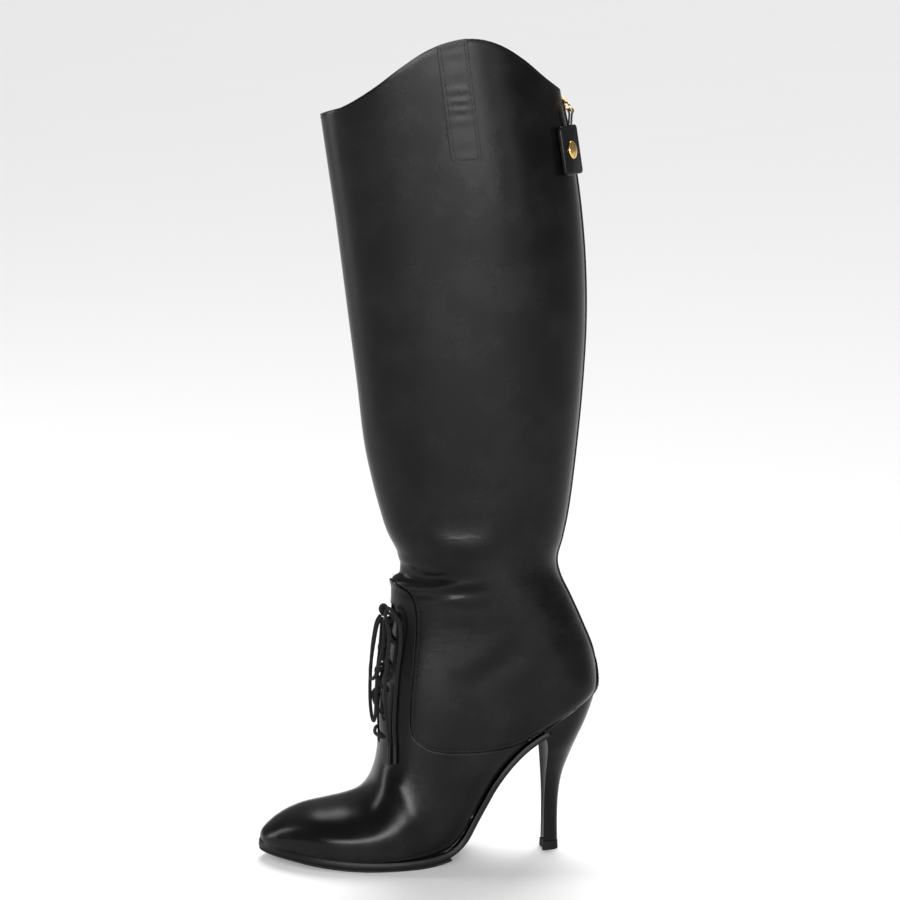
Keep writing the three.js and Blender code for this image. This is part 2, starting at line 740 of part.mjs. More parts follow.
// Back stay over the heel's seam, from below the zip down to the heel
const stayTop = zipBottom - 1;
const stayHalf = [
  [0.0, 0.0],
  [0.2, 0.05],
  [0.45, 0.3],
  [0.72, 0.65],
  [0.94, 1.1],
  [1.0, 2.0],
];
const stayEdge = stayHalf.map(([side, drop]) => [(side * stayWidth) / 2, stayTop - drop * stayHeight]);
const stayOutline = [...stayEdge, ...stayEdge.slice(1).reverse().map(([y, z]) => [-y, z])];
const seatLevel = soleLayer({
  toPlace: 22,
  margin: 30,
  high: heelLip + fitGap,
  low: -2 * floorDepth,
  bevel: 0,
  extra: heelLead,
});
const backStay = overlay(overlayWall)
  .intersect(along(stayOutline, 0, heelOverhang + floorDepth))
  .subtract(seatLevel);

// Zip: cloth tape inside the slot, the closed chain, and the slider at its top
const behind = backCollarX - tapeWidth;
const strip = (half, bottom, top) =>
  along([[-half, bottom], [half, bottom], [half, top], [-half, top]], behind, heelOverhang + floorDepth);
const tapeTop = zipTop - 4;
const zipTape = form(-insideWall)
  .subtract(form(-insideWall - tapeThickness))
  .intersect(strip(tapeWidth / 2, zipBottom - 6, tapeTop));
const chainTop = zipTop - sliderLength - 2;
const zipChain = form(chainProud)
  .subtract(form(-upperWall))
  .intersect(strip(chainWidth / 2, zipBottom + 3, chainTop));

// A local frame on the boot's surface: X out, Y to the inner side of the leg, Z up along the surface
function frameAt(point, away) {
  const up = new THREE.Vector3(0, 0, 1).addScaledVector(away, -away.z).normalize();
  const sideways = up.clone().cross(away);
  return new THREE.Matrix4().makeBasis(away, sideways, up).setPosition(point);
}
const placed = (geometry, frame) => solidOf(geometry.applyMatrix4(frame));
const box = (x, y, z) => new THREE.BoxGeometry(x, y, z);
const sliderSpot = spot(false, 0, chainTop + 2 * fitGap + sliderLength / 2);
const sliderFrame = frameAt(sliderSpot.point, sliderSpot.away);
const sliderDepth = 0.7 * upperWall;
const archFoot = 0.3;
const archGap = archHeight - archRim;
const sliderBody = box(sliderDepth, sliderWidth, sliderLength).translate(-sliderDepth / 2, 0, 0);
const sliderArch = box(archHeight + archFoot, archWidth, archLength).translate((archHeight - archFoot) / 2, 0, 0);
const archHole = box(archGap, 2 * archWidth, archLength - 2 * archRim).translate(archGap / 2, 0, 0);
const zipSlider = placed(sliderBody, sliderFrame)
  .add(placed(sliderArch, sliderFrame))
  .subtract(placed(archHole, sliderFrame));

// The pull: a long wire link through the slider's arch, and a leather tag with a loop round the link and a
// round stud on its face. It hangs down beside the zip, on the outer side.
const tagSpot = spot(false, -tagSide, zipTop - tagDrop);
const tagClear = 3 * fitGap;
const tagFrame = frameAt(
  tagSpot.point.clone().addScaledVector(tagSpot.away, tagClear + tagThickness / 2),
  tagSpot.away,
);
const tagCorner = tagWidth / 10;
function roundedPlate(width, height, thickness, corner) {
  const [w, h] = [width / 2, height / 2];
  const shape = new THREE.Shape();
  shape.moveTo(-w + corner, -h);
  shape.absarc(w - corner, -h + corner, corner, -Math.PI / 2, 0);
  shape.absarc(w - corner, h - corner, corner, 0, Math.PI / 2);
  shape.absarc(-w + corner, h - corner, corner, Math.PI / 2, Math.PI);
  shape.absarc(-w + corner, -h + corner, corner, Math.PI, 1.5 * Math.PI);
  const body = new THREE.ExtrudeGeometry(shape, { depth: thickness, bevelEnabled: false, curveSegments: 3 });
  body.translate(0, 0, -thickness / 2);
  body.rotateX(Math.PI / 2);
  body.rotateZ(Math.PI / 2);
  return body;
}

// The link's centre line: straight sides across the boot, half circles at the ends
const archMiddle = new THREE.Vector3(archGap / 2, 0, 0).applyMatrix4(sliderFrame);
const linkLean = Math.PI / 15;
const linkDown = new THREE.Vector3(Math.sin(linkLean), 0, -Math.cos(linkLean)).transformDirection(sliderFrame);
const linkSpot = (side, down) => {
  const point = archMiddle.clone().addScaledVector(linkDown, down);
  return point.setY(side);
};
const linkArc = 6;
const halfLink = linkWidth / 2;
function linkEnd(side, from) {
  return Array.from({ length: linkArc + 1 }, (unused, i) => {
    const angle = from + (Math.PI * i) / linkArc;
    return linkSpot(side + halfLink * Math.cos(angle), halfLink + halfLink * Math.sin(angle));
  });
}
const linkLine = [...linkEnd(0, -Math.PI / 2), ...linkEnd(-linkReach, Math.PI / 2)];
function wireLink(line, normal, radius, sides) {
  const positions = [];
  const index = [];
  const count = line.length;
  for (const [i, middle] of line.entries()) {
    const tangent = line[(i + 1) % count].clone().sub(line[(i + count - 1) % count]).normalize();
    const outward = tangent.clone().cross(normal);
    for (let j = 0; j < sides; j++) {
      const angle = (2 * Math.PI * j) / sides;
      const p = middle
        .clone()
        .addScaledVector(outward, radius * Math.cos(angle))
        .addScaledVector(normal, radius * Math.sin(angle));
      positions.push(p.x, p.y, p.z);
      const [a, b] = [i * sides + j, i * sides + ((j + 1) % sides)];
      const [c, d] = [a, b].map((corner) => (corner + sides) % (sides * count));
      index.push(a, b, d, a, d, c);
    }
  }
  const geometry = new THREE.BufferGeometry();
  geometry.setAttribute("position", new THREE.Float32BufferAttribute(positions, 3));
  geometry.setIndex(index);
  return solidOf(geometry);
}
const sideways = new THREE.Vector3(0, 1, 0);
const pullLink = wireLink(linkLine, linkDown.clone().cross(sideways), linkWire / 2, 6);

// The tag's loop: a narrow strip of its leather folded round the link's lower side
const loopShare = 0.2;
const tagTop = new THREE.Vector3(0, loopShare * tagWidth, tagHeight / 2).applyMatrix4(tagFrame);
const loopMiddle = linkSpot(-linkHang, linkWidth);
const loopUp = loopMiddle.clone().sub(tagTop).normalize();
const loopSide = sideways.clone().addScaledVector(loopUp, -loopUp.y).normalize();
const loopFrame = new THREE.Matrix4().makeBasis(loopSide.clone().cross(loopUp), loopSide, loopUp).setPosition(tagTop);
const loopLength = tagTop.distanceTo(loopMiddle);
const loopEye = linkWire / 2 + 1.5 * fitGap;
const loopOuter = loopEye + loopStrip;
const loopNeck = loopStrip + fitGap / 3;
function loopBody() {
  const shape = new THREE.Shape();
  shape.moveTo(-loopNeck, -tagCorner);
  shape.lineTo(loopNeck, -tagCorner);
  shape.absarc(0, loopLength, loopOuter, -1.1, Math.PI + 1.1);
  const eye = new THREE.Path();
  eye.absarc(0, loopLength, loopEye, 0, 2 * Math.PI);
  shape.holes.push(eye);
  const body = new THREE.ExtrudeGeometry(shape, { depth: loopWidth, bevelEnabled: false, curveSegments: 5 });
  body.rotateX(Math.PI / 2);
  return body.translate(0, loopWidth / 2, 0);
}
const pullTag = placed(roundedPlate(tagWidth, tagHeight, tagThickness, tagCorner), tagFrame).add(
  placed(loopBody(), loopFrame),
);

// Domed stud. radius in stud diameters, height in stud heights
const studProfile = [
  // radius, height
  [0.0, 0.0],
  [0.5, 0.0],
  [0.5, 0.35],
  [0.42, 0.68],
  [0.25, 0.91],
  [0.0, 1.0],
];
const studBody = new THREE.LatheGeometry(
  studProfile.map(([r, h]) => new THREE.Vector2(r * studDiameter, h * studHeight)),
  12,
);
studBody.rotateZ(-Math.PI / 2);
const pullStud = placed(studBody.translate(tagThickness / 2 + fitGap, 0, 0), tagFrame);

// Lace: a bar at the lowest pair of holes and a crossing between each higher two
const laceRadius = laceDiameter / 2;
const laceSides = 5;
function tube(points, steps) {
  const path = new THREE.CatmullRomCurve3(points);
  const corners = Array.from({ length: laceSides }, (unused, i) => {
    const angle = (2 * Math.PI * i) / laceSides;
    return new THREE.Vector2(laceRadius * Math.cos(angle), laceRadius * Math.sin(angle));
  });
  return solidOf(
    new THREE.ExtrudeGeometry(new THREE.Shape(corners), { steps, extrudePath: path, bevelEnabled: false }),
  );
}
const laceLift = 2 * fitGap + overlayWall + laceRadius;
const overSlit = laceLift + fitGap;
const onLace = (rows) => rows.map(([side, height, lift]) => lifted(true, side, height, lift));
function strand(fromSide, fromHeight, toSide, toHeight) {
  const at = (share, lift) => [
    fromSide + (toSide - fromSide) * share,
    fromHeight + (toHeight - fromHeight) * share,
    lift,
  ];
  return tube(onLace([at(0, laceLift), at(0.4, overSlit), at(0.7, overSlit), at(1, laceLift)]), 4);
}
const dive = slitWidth / 2 - laceRadius - 0.4;
const laceBar = strand(-eyeletSide, eyeletHeights[0], eyeletSide, eyeletHeights[0]);
const crossings = eyeletHeights.slice(1, -1).map((height, i) => {
  const next = eyeletHeights[i + 2] - laceDiameter;
  return strand(-eyeletSide, height, dive, next).add(strand(eyeletSide, height, -dive, next));
});

// Bow: the knot with its two short strands from the top holes, two loops and two ends.
// side and height of each point, and its lift off the last, in millimetres
const knotLevel = slitTop - 4.6;
const knotLift = laceLift + laceDiameter;
const knotCentre = lifted(true, 0, knotLevel, knotLift);
const knotBody = new THREE.SphereGeometry(1, 9, 6).scale(3, 5, 3.6).translate(knotCentre.x, knotCentre.y, knotCentre.z);
const topHole = eyeletHeights[eyeletHeights.length - 1];
const shortStrand = (way) =>
  tube(
    onLace([
      [way * eyeletSide, topHole, laceLift],
      [way * 8, topHole + 2, overSlit],
      [way * 3, knotLevel, knotLift],
    ]),
    3,
  );
const laceKnot = solidOf(knotBody).add(shortStrand(-1)).add(shortStrand(1));

const shortLoopRoute = [
  // side, height, lift
  [-2.8, 151.2, 6.2],
  [-3.0, 146.5, 8.4],
  [-2.6, 136.0, 8.6],
  [-2.2, 124.0, 8.4],
  [-3.0, 116.5, 8.2],
  [-5.4, 113.5, 8.0],
  [-8.6, 116.0, 7.8],
  [-10.0, 126.0, 7.4],
  [-9.8, 137.0, 7.2],
  [-8.2, 145.5, 7.0],
  [-6.0, 150.4, 6.4],
];
const longLoopRoute = [
  // side, height, lift
  [2.4, 151.2, 6.2],
  [1.8, 146.0, 8.0],
  [1.4, 134.0, 8.2],
  [0.6, 122.0, 7.6],
  [-0.6, 110.0, 6.8],
  [-2.4, 99.0, 5.9],
  [-5.0, 91.0, 5.6],
  [-8.2, 88.5, 5.5],
  [-10.2, 93.0, 5.5],
  [-9.6, 102.0, 5.5],
  [-7.8, 111.0, 5.4],
  [-6.2, 121.0, 5.4],
  [-5.0, 134.0, 5.4],
  [-2.8, 144.0, 5.4],
  [-0.3, 150.6, 5.4],
];
const firstEndRoute = [
  // side, height, lift
  [-6.4, 155.4, 6.6],
  [-9.4, 152.0, 8.6],
  [-12.6, 143.0, 8.0],
  [-13.6, 130.0, 6.8],
  [-14.6, 116.0, 6.2],
  [-16.0, 102.0, 5.4],
  [-18.0, 88.0, 3.4],
  [-19.8, 76.0, 2.7],
  [-21.3, 63.5, 2.7],
];
const secondEndRoute = [
  // side, height, lift
  [-6.2, 158.6, 6.2],
  [-10.6, 157.6, 6.6],
  [-15.0, 150.0, 5.4],
  [-17.0, 136.0, 3.6],
  [-18.2, 120.0, 2.7],
  [-19.6, 104.0, 2.7],
  [-21.2, 88.0, 2.7],
  [-22.8, 75.0, 2.7],
  [-24.1, 64.5, 2.7],
];
const cord = (route) => tube(onLace(route), 2 * (route.length - 1));
const laceShortLoop = cord(shortLoopRoute);
const laceLongLoop = cord(longLoopRoute);
const laceFirstEnd = cord(firstEndRoute);
const laceSecondEnd = cord(secondEndRoute);

const pieces = [
  ["upper", upper, leather],
  ["vamp", vamp, leather],
  ["tongue", tongue, leather],
  ["pull_strap", pullStrap, leather],
  ["back_stay", backStay, leather],
  ["insole", insole, lining],
  ["outsole", outsole, soleLeather],
  ["half_sole", halfSole, rubber],
  ["heel_block", heelBlock, leather],
  ["heel_tip", heelTip, rubber],
  ["zip_tape", zipTape, zipCloth],
  ["zip_chain", zipChain, zipCloth],
  ["zip_slider", zipSlider, brass],
  ["pull_link", pullLink, brass],
  ["pull_tag", pullTag, leather],
  ["pull_stud", pullStud, brass],
  ["lace_bar", laceBar, cotton],
  ...crossings.map((solid, i) => [`lace_crossing_${i + 1}`, solid, cotton]),
  ["lace_knot", laceKnot, cotton],
  ["lace_short_loop", laceShortLoop, cotton],
  ["lace_long_loop", laceLongLoop, cotton],
  ["lace_first_end", laceFirstEnd, cotton],
  ["lace_second_end", laceSecondEnd, cotton],
];
const boot = new THREE.Group();
for (const [name, solid, material] of pieces) boot.add(node(name, solid, material));

export default boot;
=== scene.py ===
"""A woman's knee-high dress boot for the left foot, dressed over its packed construction model.

The outer side of the leg faces -Y, the toe points to -X and +Z is up. Sizes are millimetres until a piece's
mesh is finished, which puts it in metres. The origin is the centre of the heel tip's underside.
"""
import logging
import math
from dataclasses import dataclass, field
from enum import Enum
from typing import Callable, Sequence

import bmesh
import bpy
import numpy as np
from mathutils import Matrix, Vector


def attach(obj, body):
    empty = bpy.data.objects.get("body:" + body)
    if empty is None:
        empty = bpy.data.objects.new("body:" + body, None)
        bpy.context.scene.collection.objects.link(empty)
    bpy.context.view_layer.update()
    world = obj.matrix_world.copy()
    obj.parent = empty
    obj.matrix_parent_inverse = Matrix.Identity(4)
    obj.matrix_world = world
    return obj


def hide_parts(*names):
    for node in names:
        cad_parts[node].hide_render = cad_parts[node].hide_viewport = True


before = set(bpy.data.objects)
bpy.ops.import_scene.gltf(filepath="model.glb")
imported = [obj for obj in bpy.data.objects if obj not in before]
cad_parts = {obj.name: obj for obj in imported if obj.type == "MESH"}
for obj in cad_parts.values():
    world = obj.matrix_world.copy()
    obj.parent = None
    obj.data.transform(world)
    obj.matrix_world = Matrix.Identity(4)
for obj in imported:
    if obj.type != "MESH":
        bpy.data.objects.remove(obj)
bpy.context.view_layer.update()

METRES = 0.001
LOG = logging.getLogger("boot")
Array = np.ndarray
Mesh = bmesh.types.BMesh
BACKWARD, INWARD, UP = np.eye(3)

# The slit at the front, and the lace holes beside it
SLIT_HALF, SLIT_BOTTOM, SLIT_TOP = 6.0, 74.0, 160.0
EYELET_SIDE = 13.0
EYELET_HEIGHTS = np.linspace(SLIT_BOTTOM + 5, SLIT_TOP - 8, 6)

# How finely the last's surface is searched
SEARCH_PLACES, SEARCH_ANGLES, SEARCH_ROUNDS, HALVINGS = 157, 41, 12, 40
SEARCH_STEP, PLACE_STRIDE, ANGLE_STRIDE = 1e-3, 0.5, 0.1
EDGE_ANGLE, END_ANGLE = 0.02, 1.45

# Sections of the foot, from the toe's tip to the ankle, as shares of the last's sizes
FOOT_SECTIONS = (
    # sole, spring, rise, top, top_rise, lift, swing, outer, inner, belly, crown, seat
    (0.0, 1.4, 0.0, 0.0, 0.0, 0.168, 0.066, 0.0, 0.0, 0.5, 2.0, 2.0),
    (0.0034, 1.055, 0.0, 0.0034, 0.0, 0.198, 0.065, 0.06, 0.06, 0.46, 2.0, 3.0),
    (0.013, 0.9, 0.0, 0.013, 0.0, 0.226, 0.062, 0.12, 0.12, 0.44, 2.1, 4.0),
    (0.0289, 0.836, 0.0, 0.0289, 0.0, 0.259, 0.057, 0.18, 0.178, 0.42, 2.2, 5.0),
    (0.0515, 0.773, 0.0, 0.0515, 0.0, 0.3, 0.05, 0.243, 0.24, 0.4, 2.2, 6.0),
    (0.0886, 0.648, 0.0, 0.0886, 0.0, 0.35, 0.039, 0.32, 0.314, 0.38, 2.2, 6.5),
    (0.1358, 0.461, 0.0, 0.1358, 0.0, 0.39, 0.026, 0.396, 0.386, 0.36, 2.2, 7.0),
    (0.193, 0.258, 0.0, 0.193, 0.0, 0.4155, 0.016, 0.461, 0.448, 0.34, 2.2, 7.0),
    (0.2595, 0.1, 0.0, 0.2547, 0.0, 0.4496, 0.007, 0.506, 0.482, 0.33, 2.15, 7.0),
    (0.3317, 0.02, 0.0, 0.298, 0.0, 0.5006, 0.0, 0.524, 0.476, 0.33, 2.1, 7.0),
    (0.3991, 0.0, 0.0, 0.3255, 0.0, 0.5905, 0.0, 0.516, 0.445, 0.34, 2.1, 7.0),
    (0.4593, 0.0, 0.004, 0.3409, 0.0, 0.6999, 0.0, 0.487, 0.408, 0.36, 2.1, 7.0),
    (0.5099, 0.0, 0.018, 0.3491, 0.0, 0.8117, 0.0, 0.455, 0.39, 0.38, 2.0, 6.5),
    (0.5527, 0.0, 0.05, 0.3515, 0.06, 0.8605, 0.0, 0.434, 0.386, 0.4, 2.0, 6.0),
    (0.5879, 0.0, 0.1167, 0.3495, 0.16, 0.87, 0.0, 0.421, 0.384, 0.41, 2.0, 5.5),
    (0.6163, 0.0, 0.2196, 0.3495, 0.28, 0.853, 0.0, 0.414, 0.387, 0.42, 2.0, 5.5),
    (0.6452, 0.0, 0.3316, 0.3553, 0.4, 0.838, 0.0, 0.414, 0.391, 0.42, 2.0, 5.5),
    (0.6793, 0.0, 0.458, 0.363, 0.52, 0.827, 0.0, 0.418, 0.397, 0.42, 2.0, 5.5),
    (0.7232, 0.0, 0.5782, 0.3707, 0.64, 0.81, 0.0, 0.42, 0.402, 0.42, 2.0, 5.5),
    (0.779, 0.0, 0.6882, 0.3794, 0.76, 0.792, 0.0, 0.422, 0.405, 0.42, 2.0, 5.5),
    (0.8493, 0.0, 0.784, 0.3871, 0.86, 0.789, 0.0, 0.424, 0.41, 0.43, 2.0, 5.4),
    (0.9225, 0.0, 0.8808, 0.3919, 0.94, 0.792, 0.0, 0.428, 0.416, 0.45, 2.0, 4.8),
    (0.9793, 0.0, 0.9755, 0.393, 1.0, 0.808, 0.0, 0.434, 0.424, 0.46, 2.0, 3.8),
    (1.0, 0.0, 1.061, 0.3945, 1.0, 0.881, 0.0, 0.442, 0.434, 0.47, 2.0, 2.8),
)

# Sections of the leg, from the ankle to above the collar, as shares of the last's sizes
LEG_SECTIONS = (
    # back, front, back_out, front_out, outer, inner, belly, crown, seat
    (-0.1774, -0.0149, 0.47, 0.041, 0.396, 0.39, 0.48, 2.0, 2.15),
    (-0.1248, 0.0, 0.334, 0.0, 0.402, 0.398, 0.48, 1.95, 2.1),
    (-0.0721, 0.0161, 0.177, 0.033, 0.407, 0.404, 0.48, 1.95, 2.1),
    (-0.0288, 0.0362, 0.041, 0.103, 0.411, 0.409, 0.48, 1.95, 2.1),
    (0.0053, 0.061, 0.0, 0.173, 0.416, 0.415, 0.48, 1.9, 2.1),
    (0.0455, 0.0981, 0.068, 0.249, 0.425, 0.425, 0.48, 1.9, 2.1),
    (0.1043, 0.16, 0.144, 0.356, 0.441, 0.441, 0.48, 1.85, 2.1),
    (0.2003, 0.2374, 0.222, 0.459, 0.466, 0.466, 0.48, 1.85, 2.1),
    (0.3241, 0.3489, 0.3, 0.543, 0.489, 0.489, 0.48, 1.85, 2.1),
    (0.448, 0.4542, 0.346, 0.63, 0.5, 0.5, 0.48, 1.85, 2.1),
    (0.5563, 0.5594, 0.337, 0.716, 0.502, 0.502, 0.48, 1.85, 2.1),
    (0.6585, 0.6585, 0.284, 0.798, 0.5, 0.5, 0.48, 1.85, 2.1),
    (0.7576, 0.7576, 0.193, 0.891, 0.495, 0.495, 0.48, 1.85, 2.1),
    (0.8505, 0.8474, 0.068, 0.975, 0.489, 0.489, 0.48, 1.85, 2.1),
    (0.9217, 0.9217, -0.025, 1.037, 0.484, 0.484, 0.48, 1.85, 2.1),
    (1.02, 1.02, -0.13, 1.12, 0.477, 0.477, 0.48, 1.85, 2.1),
)

# Rise of the outer collar, in collar rises, at even steps from the front of the leg to the back
COLLAR_WAVE = (0.0, 0.16, 0.37, 0.61, 0.81, 0.92, 0.95, 0.87, 0.69, 0.45, 0.245)

# Edge of the forepart's leather: place along the boot, and height in crook levels
VAMP_EDGE = (
    (0.295, 0.985), (0.373, 0.957), (0.404, 0.935), (0.433, 0.91), (0.445, 0.882), (0.45, 0.835),
    (0.448, 0.766), (0.442, 0.697), (0.436, 0.628), (0.43, 0.56), (0.427, 0.49), (0.433, 0.449),
    (0.451, 0.423), (0.481, 0.402), (0.517, 0.392), (0.578, 0.388), (0.639, 0.389), (0.699, 0.397),
    (0.748, 0.408), (0.779, 0.42), (0.804, 0.44), (0.899, 0.45),
)

# Level sections of the heel block, as shares of the heel's sizes
HEEL_SECTIONS = (
    # height, back, breast, half, hollow
    (0.06, 0.18, -0.166, 0.104, 0.02), (0.2, 0.174, -0.158, 0.104, 0.024),
    (0.35, 0.198, -0.155, 0.132, 0.032), (0.48, 0.275, -0.155, 0.21, 0.05),
    (0.6, 0.425, -0.155, 0.325, 0.07), (0.7, 0.575, -0.18, 0.44, 0.08),
    (0.79, 0.735, -0.27, 0.492, 0.06), (0.88, 0.87, -0.33, 0.5, 0.0), (0.97, 0.975, -0.33, 0.5, 0.0),
    (1.04, 1.005, -0.33, 0.5, 0.0),
)

# Routes of the bow's loops and ends on the front: side, height and lift off the last
BOW_ROUTES = {
    "lace_short_loop": (
        (-2.8, 151.2, 6.2), (-3.0, 146.5, 8.4), (-2.6, 136.0, 8.6), (-2.2, 124.0, 8.4),
        (-3.0, 116.5, 8.2), (-5.4, 113.5, 8.0), (-8.6, 116.0, 7.8), (-10.0, 126.0, 7.4),
        (-9.8, 137.0, 7.2), (-8.2, 145.5, 7.0), (-6.0, 150.4, 6.4),
    ),
    "lace_long_loop": (
        (2.4, 151.2, 6.2), (1.8, 146.0, 8.0), (1.4, 134.0, 8.2), (0.6, 122.0, 7.6), (-0.6, 110.0, 6.8),
        (-2.4, 99.0, 5.9), (-5.0, 91.0, 5.6), (-8.2, 88.5, 5.5), (-10.2, 93.0, 5.5),
        (-9.6, 102.0, 5.5), (-7.8, 111.0, 5.4), (-6.2, 121.0, 5.4), (-5.0, 134.0, 5.4),
        (-2.8, 144.0, 5.4), (-0.3, 150.6, 5.4),
    ),
    "lace_first_end": (
        (-6.4, 155.4, 6.6), (-9.4, 152.0, 8.6), (-12.6, 143.0, 8.0), (-13.6, 130.0, 6.8),
        (-14.6, 116.0, 6.2), (-16.0, 102.0, 5.4), (-18.0, 88.0, 3.4), (-19.8, 76.0, 2.9),
        (-21.3, 63.5, 2.9),
    ),
    "lace_second_end": (
        (-6.2, 158.6, 6.2), (-10.6, 157.6, 6.6), (-15.0, 150.0, 5.4), (-17.0, 136.0, 3.6),
        (-18.2, 120.0, 2.9), (-19.6, 104.0, 2.9), (-21.2, 88.0, 2.9), (-22.8, 75.0, 2.9),
        (-24.1, 64.5, 2.9),
    ),
}


class Side(Enum):
    """The two sides of the boot."""

    OUTER = 1
    INNER = -1


class Face(Enum):
    """The two ends of a section of the boot."""

    FRONT = 1
    BACK = -1


# Numbers and curves

def smooth_value(row: Array, place: Array) -> Array:
    """Reads a smooth value between the entries of a list.

    Args:
        row: The entries.
        place: Where to read, in steps of the list.

    Returns:
        The values of a curve through all the entries.
    """
    place = np.asarray(place, float)
    count = len(row)
    i = np.clip(np.floor(place).astype(int), 0, count - 2)
    f = place - i
    b, c = row[i], row[i + 1]
    a = np.where(i > 0, row[np.maximum(i - 1, 0)], 2 * b - c)
    d = np.where(i + 2 < count, row[np.minimum(i + 2, count - 1)], 2 * c - b)
    return b + 0.5 * f * (c - a + f * (2 * a - 5 * b + 4 * c - d + f * (3 * (b - c) + d - a)))


def running(points: Array) -> Array:
    """Returns how far along a line each of its points lies."""
    return np.concatenate([[0.0], np.cumsum(np.linalg.norm(np.diff(points, axis=0), axis=1))])


def smooth_line(points: Sequence[Sequence[float]], count: int) -> Array:
    """Puts evenly spaced points on a smooth curve.

    Args:
        points: The points that the curve goes through.
        count: How many points to return.

    Returns:
        An array of points, evenly spaced along the curve.
    """
    table = np.array(points, float)
    fine = np.linspace(0, len(table) - 1, 24 * len(table))
    dense = np.stack([smooth_value(column, fine) for column in table.T], -1)
    run = running(dense)
    wanted = np.linspace(0, run[-1], count)
    return np.stack([np.interp(wanted, run, column) for column in dense.T], -1)


def line_length(points: Array) -> float:
    """Returns the length of a line through points."""
    return float(np.linalg.norm(np.diff(points, axis=0), axis=1).sum())


def unit(vectors: Array) -> Array:
    """Returns vectors scaled to length one."""
    return vectors / np.maximum(np.linalg.norm(vectors, axis=-1, keepdims=True), 1e-12)


def smooth_step(start: float, end: float, value: Array) -> Array:
    """Returns 0 before start, 1 after end, and a smooth rise between."""
    t = np.clip((np.asarray(value, float) - start) / (end - start), 0, 1)
    return t * t * (3 - 2 * t)


# Creases of the worn leather

@dataclass(frozen=True)
class Crease:
    """A soft fold in the leather: a trough where depth is negative, a ridge where it is positive.

    Its line runs over points given from the crook of the ankle, forward to the toe being negative.
    """

    line: tuple[tuple[float, float], ...]
    width: float
    depth: float
    sides: tuple[Side, ...] = (Side.OUTER, Side.INNER)

    def height(self, x: Array, z: Array, side: Array) -> Array:
        """Works out how far the fold lifts the surface.

        Args:
            x: Places along the boot, from the crook.
            z: Heights, from the crook.
            side: 1 on the outer side and -1 on the inner side.

        Returns:
            Heights off the smooth form, in millimetres.
        """
        knots = np.array(self.line, float)
        if len(self.line) > 2:
            knots = smooth_line(self.line, 4 * len(self.line))
        best = np.full(x.shape, 1e9)
        share = np.zeros(x.shape)
        for k, (start, end) in enumerate(zip(knots[:-1], knots[1:])):
            run = end - start
            t = np.clip(((x - start[0]) * run[0] + (z - start[1]) * run[1]) / (run @ run), 0, 1)
            gap = np.hypot(x - start[0] - t * run[0], z - start[1] - t * run[1])
            closer = gap < best
            best = np.where(closer, gap, best)
            share = np.where(closer, (k + t) / (len(knots) - 1), share)
        fade = np.clip(4 * share * (1 - share), 0, 1) ** 0.6
        wanted = np.isin(side, [s.value for s in self.sides])
        return np.where(wanted, self.depth * fade * np.exp(-((best / self.width) ** 2)), 0.0)


CREASES = (
    # Folds across the front of the ankle, from the top down
    Crease(((8, 19), (28, 17), (54, 19)), 8.0, 2.3),
    Crease(((-22, 15), (-4, 10), (16, 9), (34, 12)), 7.0, -0.7),
    Crease(((-12, 4), (2, 3), (16, 4), (30, 2)), 3.4, 0.9),
    Crease(((-20, -3), (-4, -5.5), (14, -6), (30, -3)), 3.0, -2.0),
    Crease(((-16, -8), (0, -11.5), (18, -11), (30, -9), (46, -7)), 2.8, 1.5),
    Crease(((-2, -15.5), (16, -16), (30, -14), (50, -11)), 2.8, -1.2),
    Crease(((8, -20), (22, -17.5), (36, -15)), 3.0, 0.7),
    Crease(((30, -23), (52, -24)), 6.0, -0.6),
    Crease(((18, -28), (44, -30)), 5.0, 0.45),
    # Broad soft folds running down from the ankle to the heel
    Crease(((30, -66), (46, -52), (62, -38)), 7.0, 0.7),
    Crease(((36, -75), (54, -60), (72, -46)), 6.0, -0.7),
    Crease(((44, -86), (64, -70), (82, -56)), 7.0, 0.5),
    # Pleats of the facing beside the knot
    Crease(((-9, -28), (0, -32)), 1.5, -0.5),
    Crease(((-9.5, -32), (0, -36)), 1.5, -0.5),
    Crease(((-8.5, -36), (-1, -38)), 1.5, -0.4),
    Crease(((-12.5, -56), (-9.5, -66), (-4.5, -74)), 2.6, -0.8),
    # Slack bulges low on the shaft
    Crease(((0, 46), (30, 38), (58, 34)), 12.0, 0.5),
    Crease(((-6, 30), (24, 26), (60, 22)), 8.0, -0.4),
)


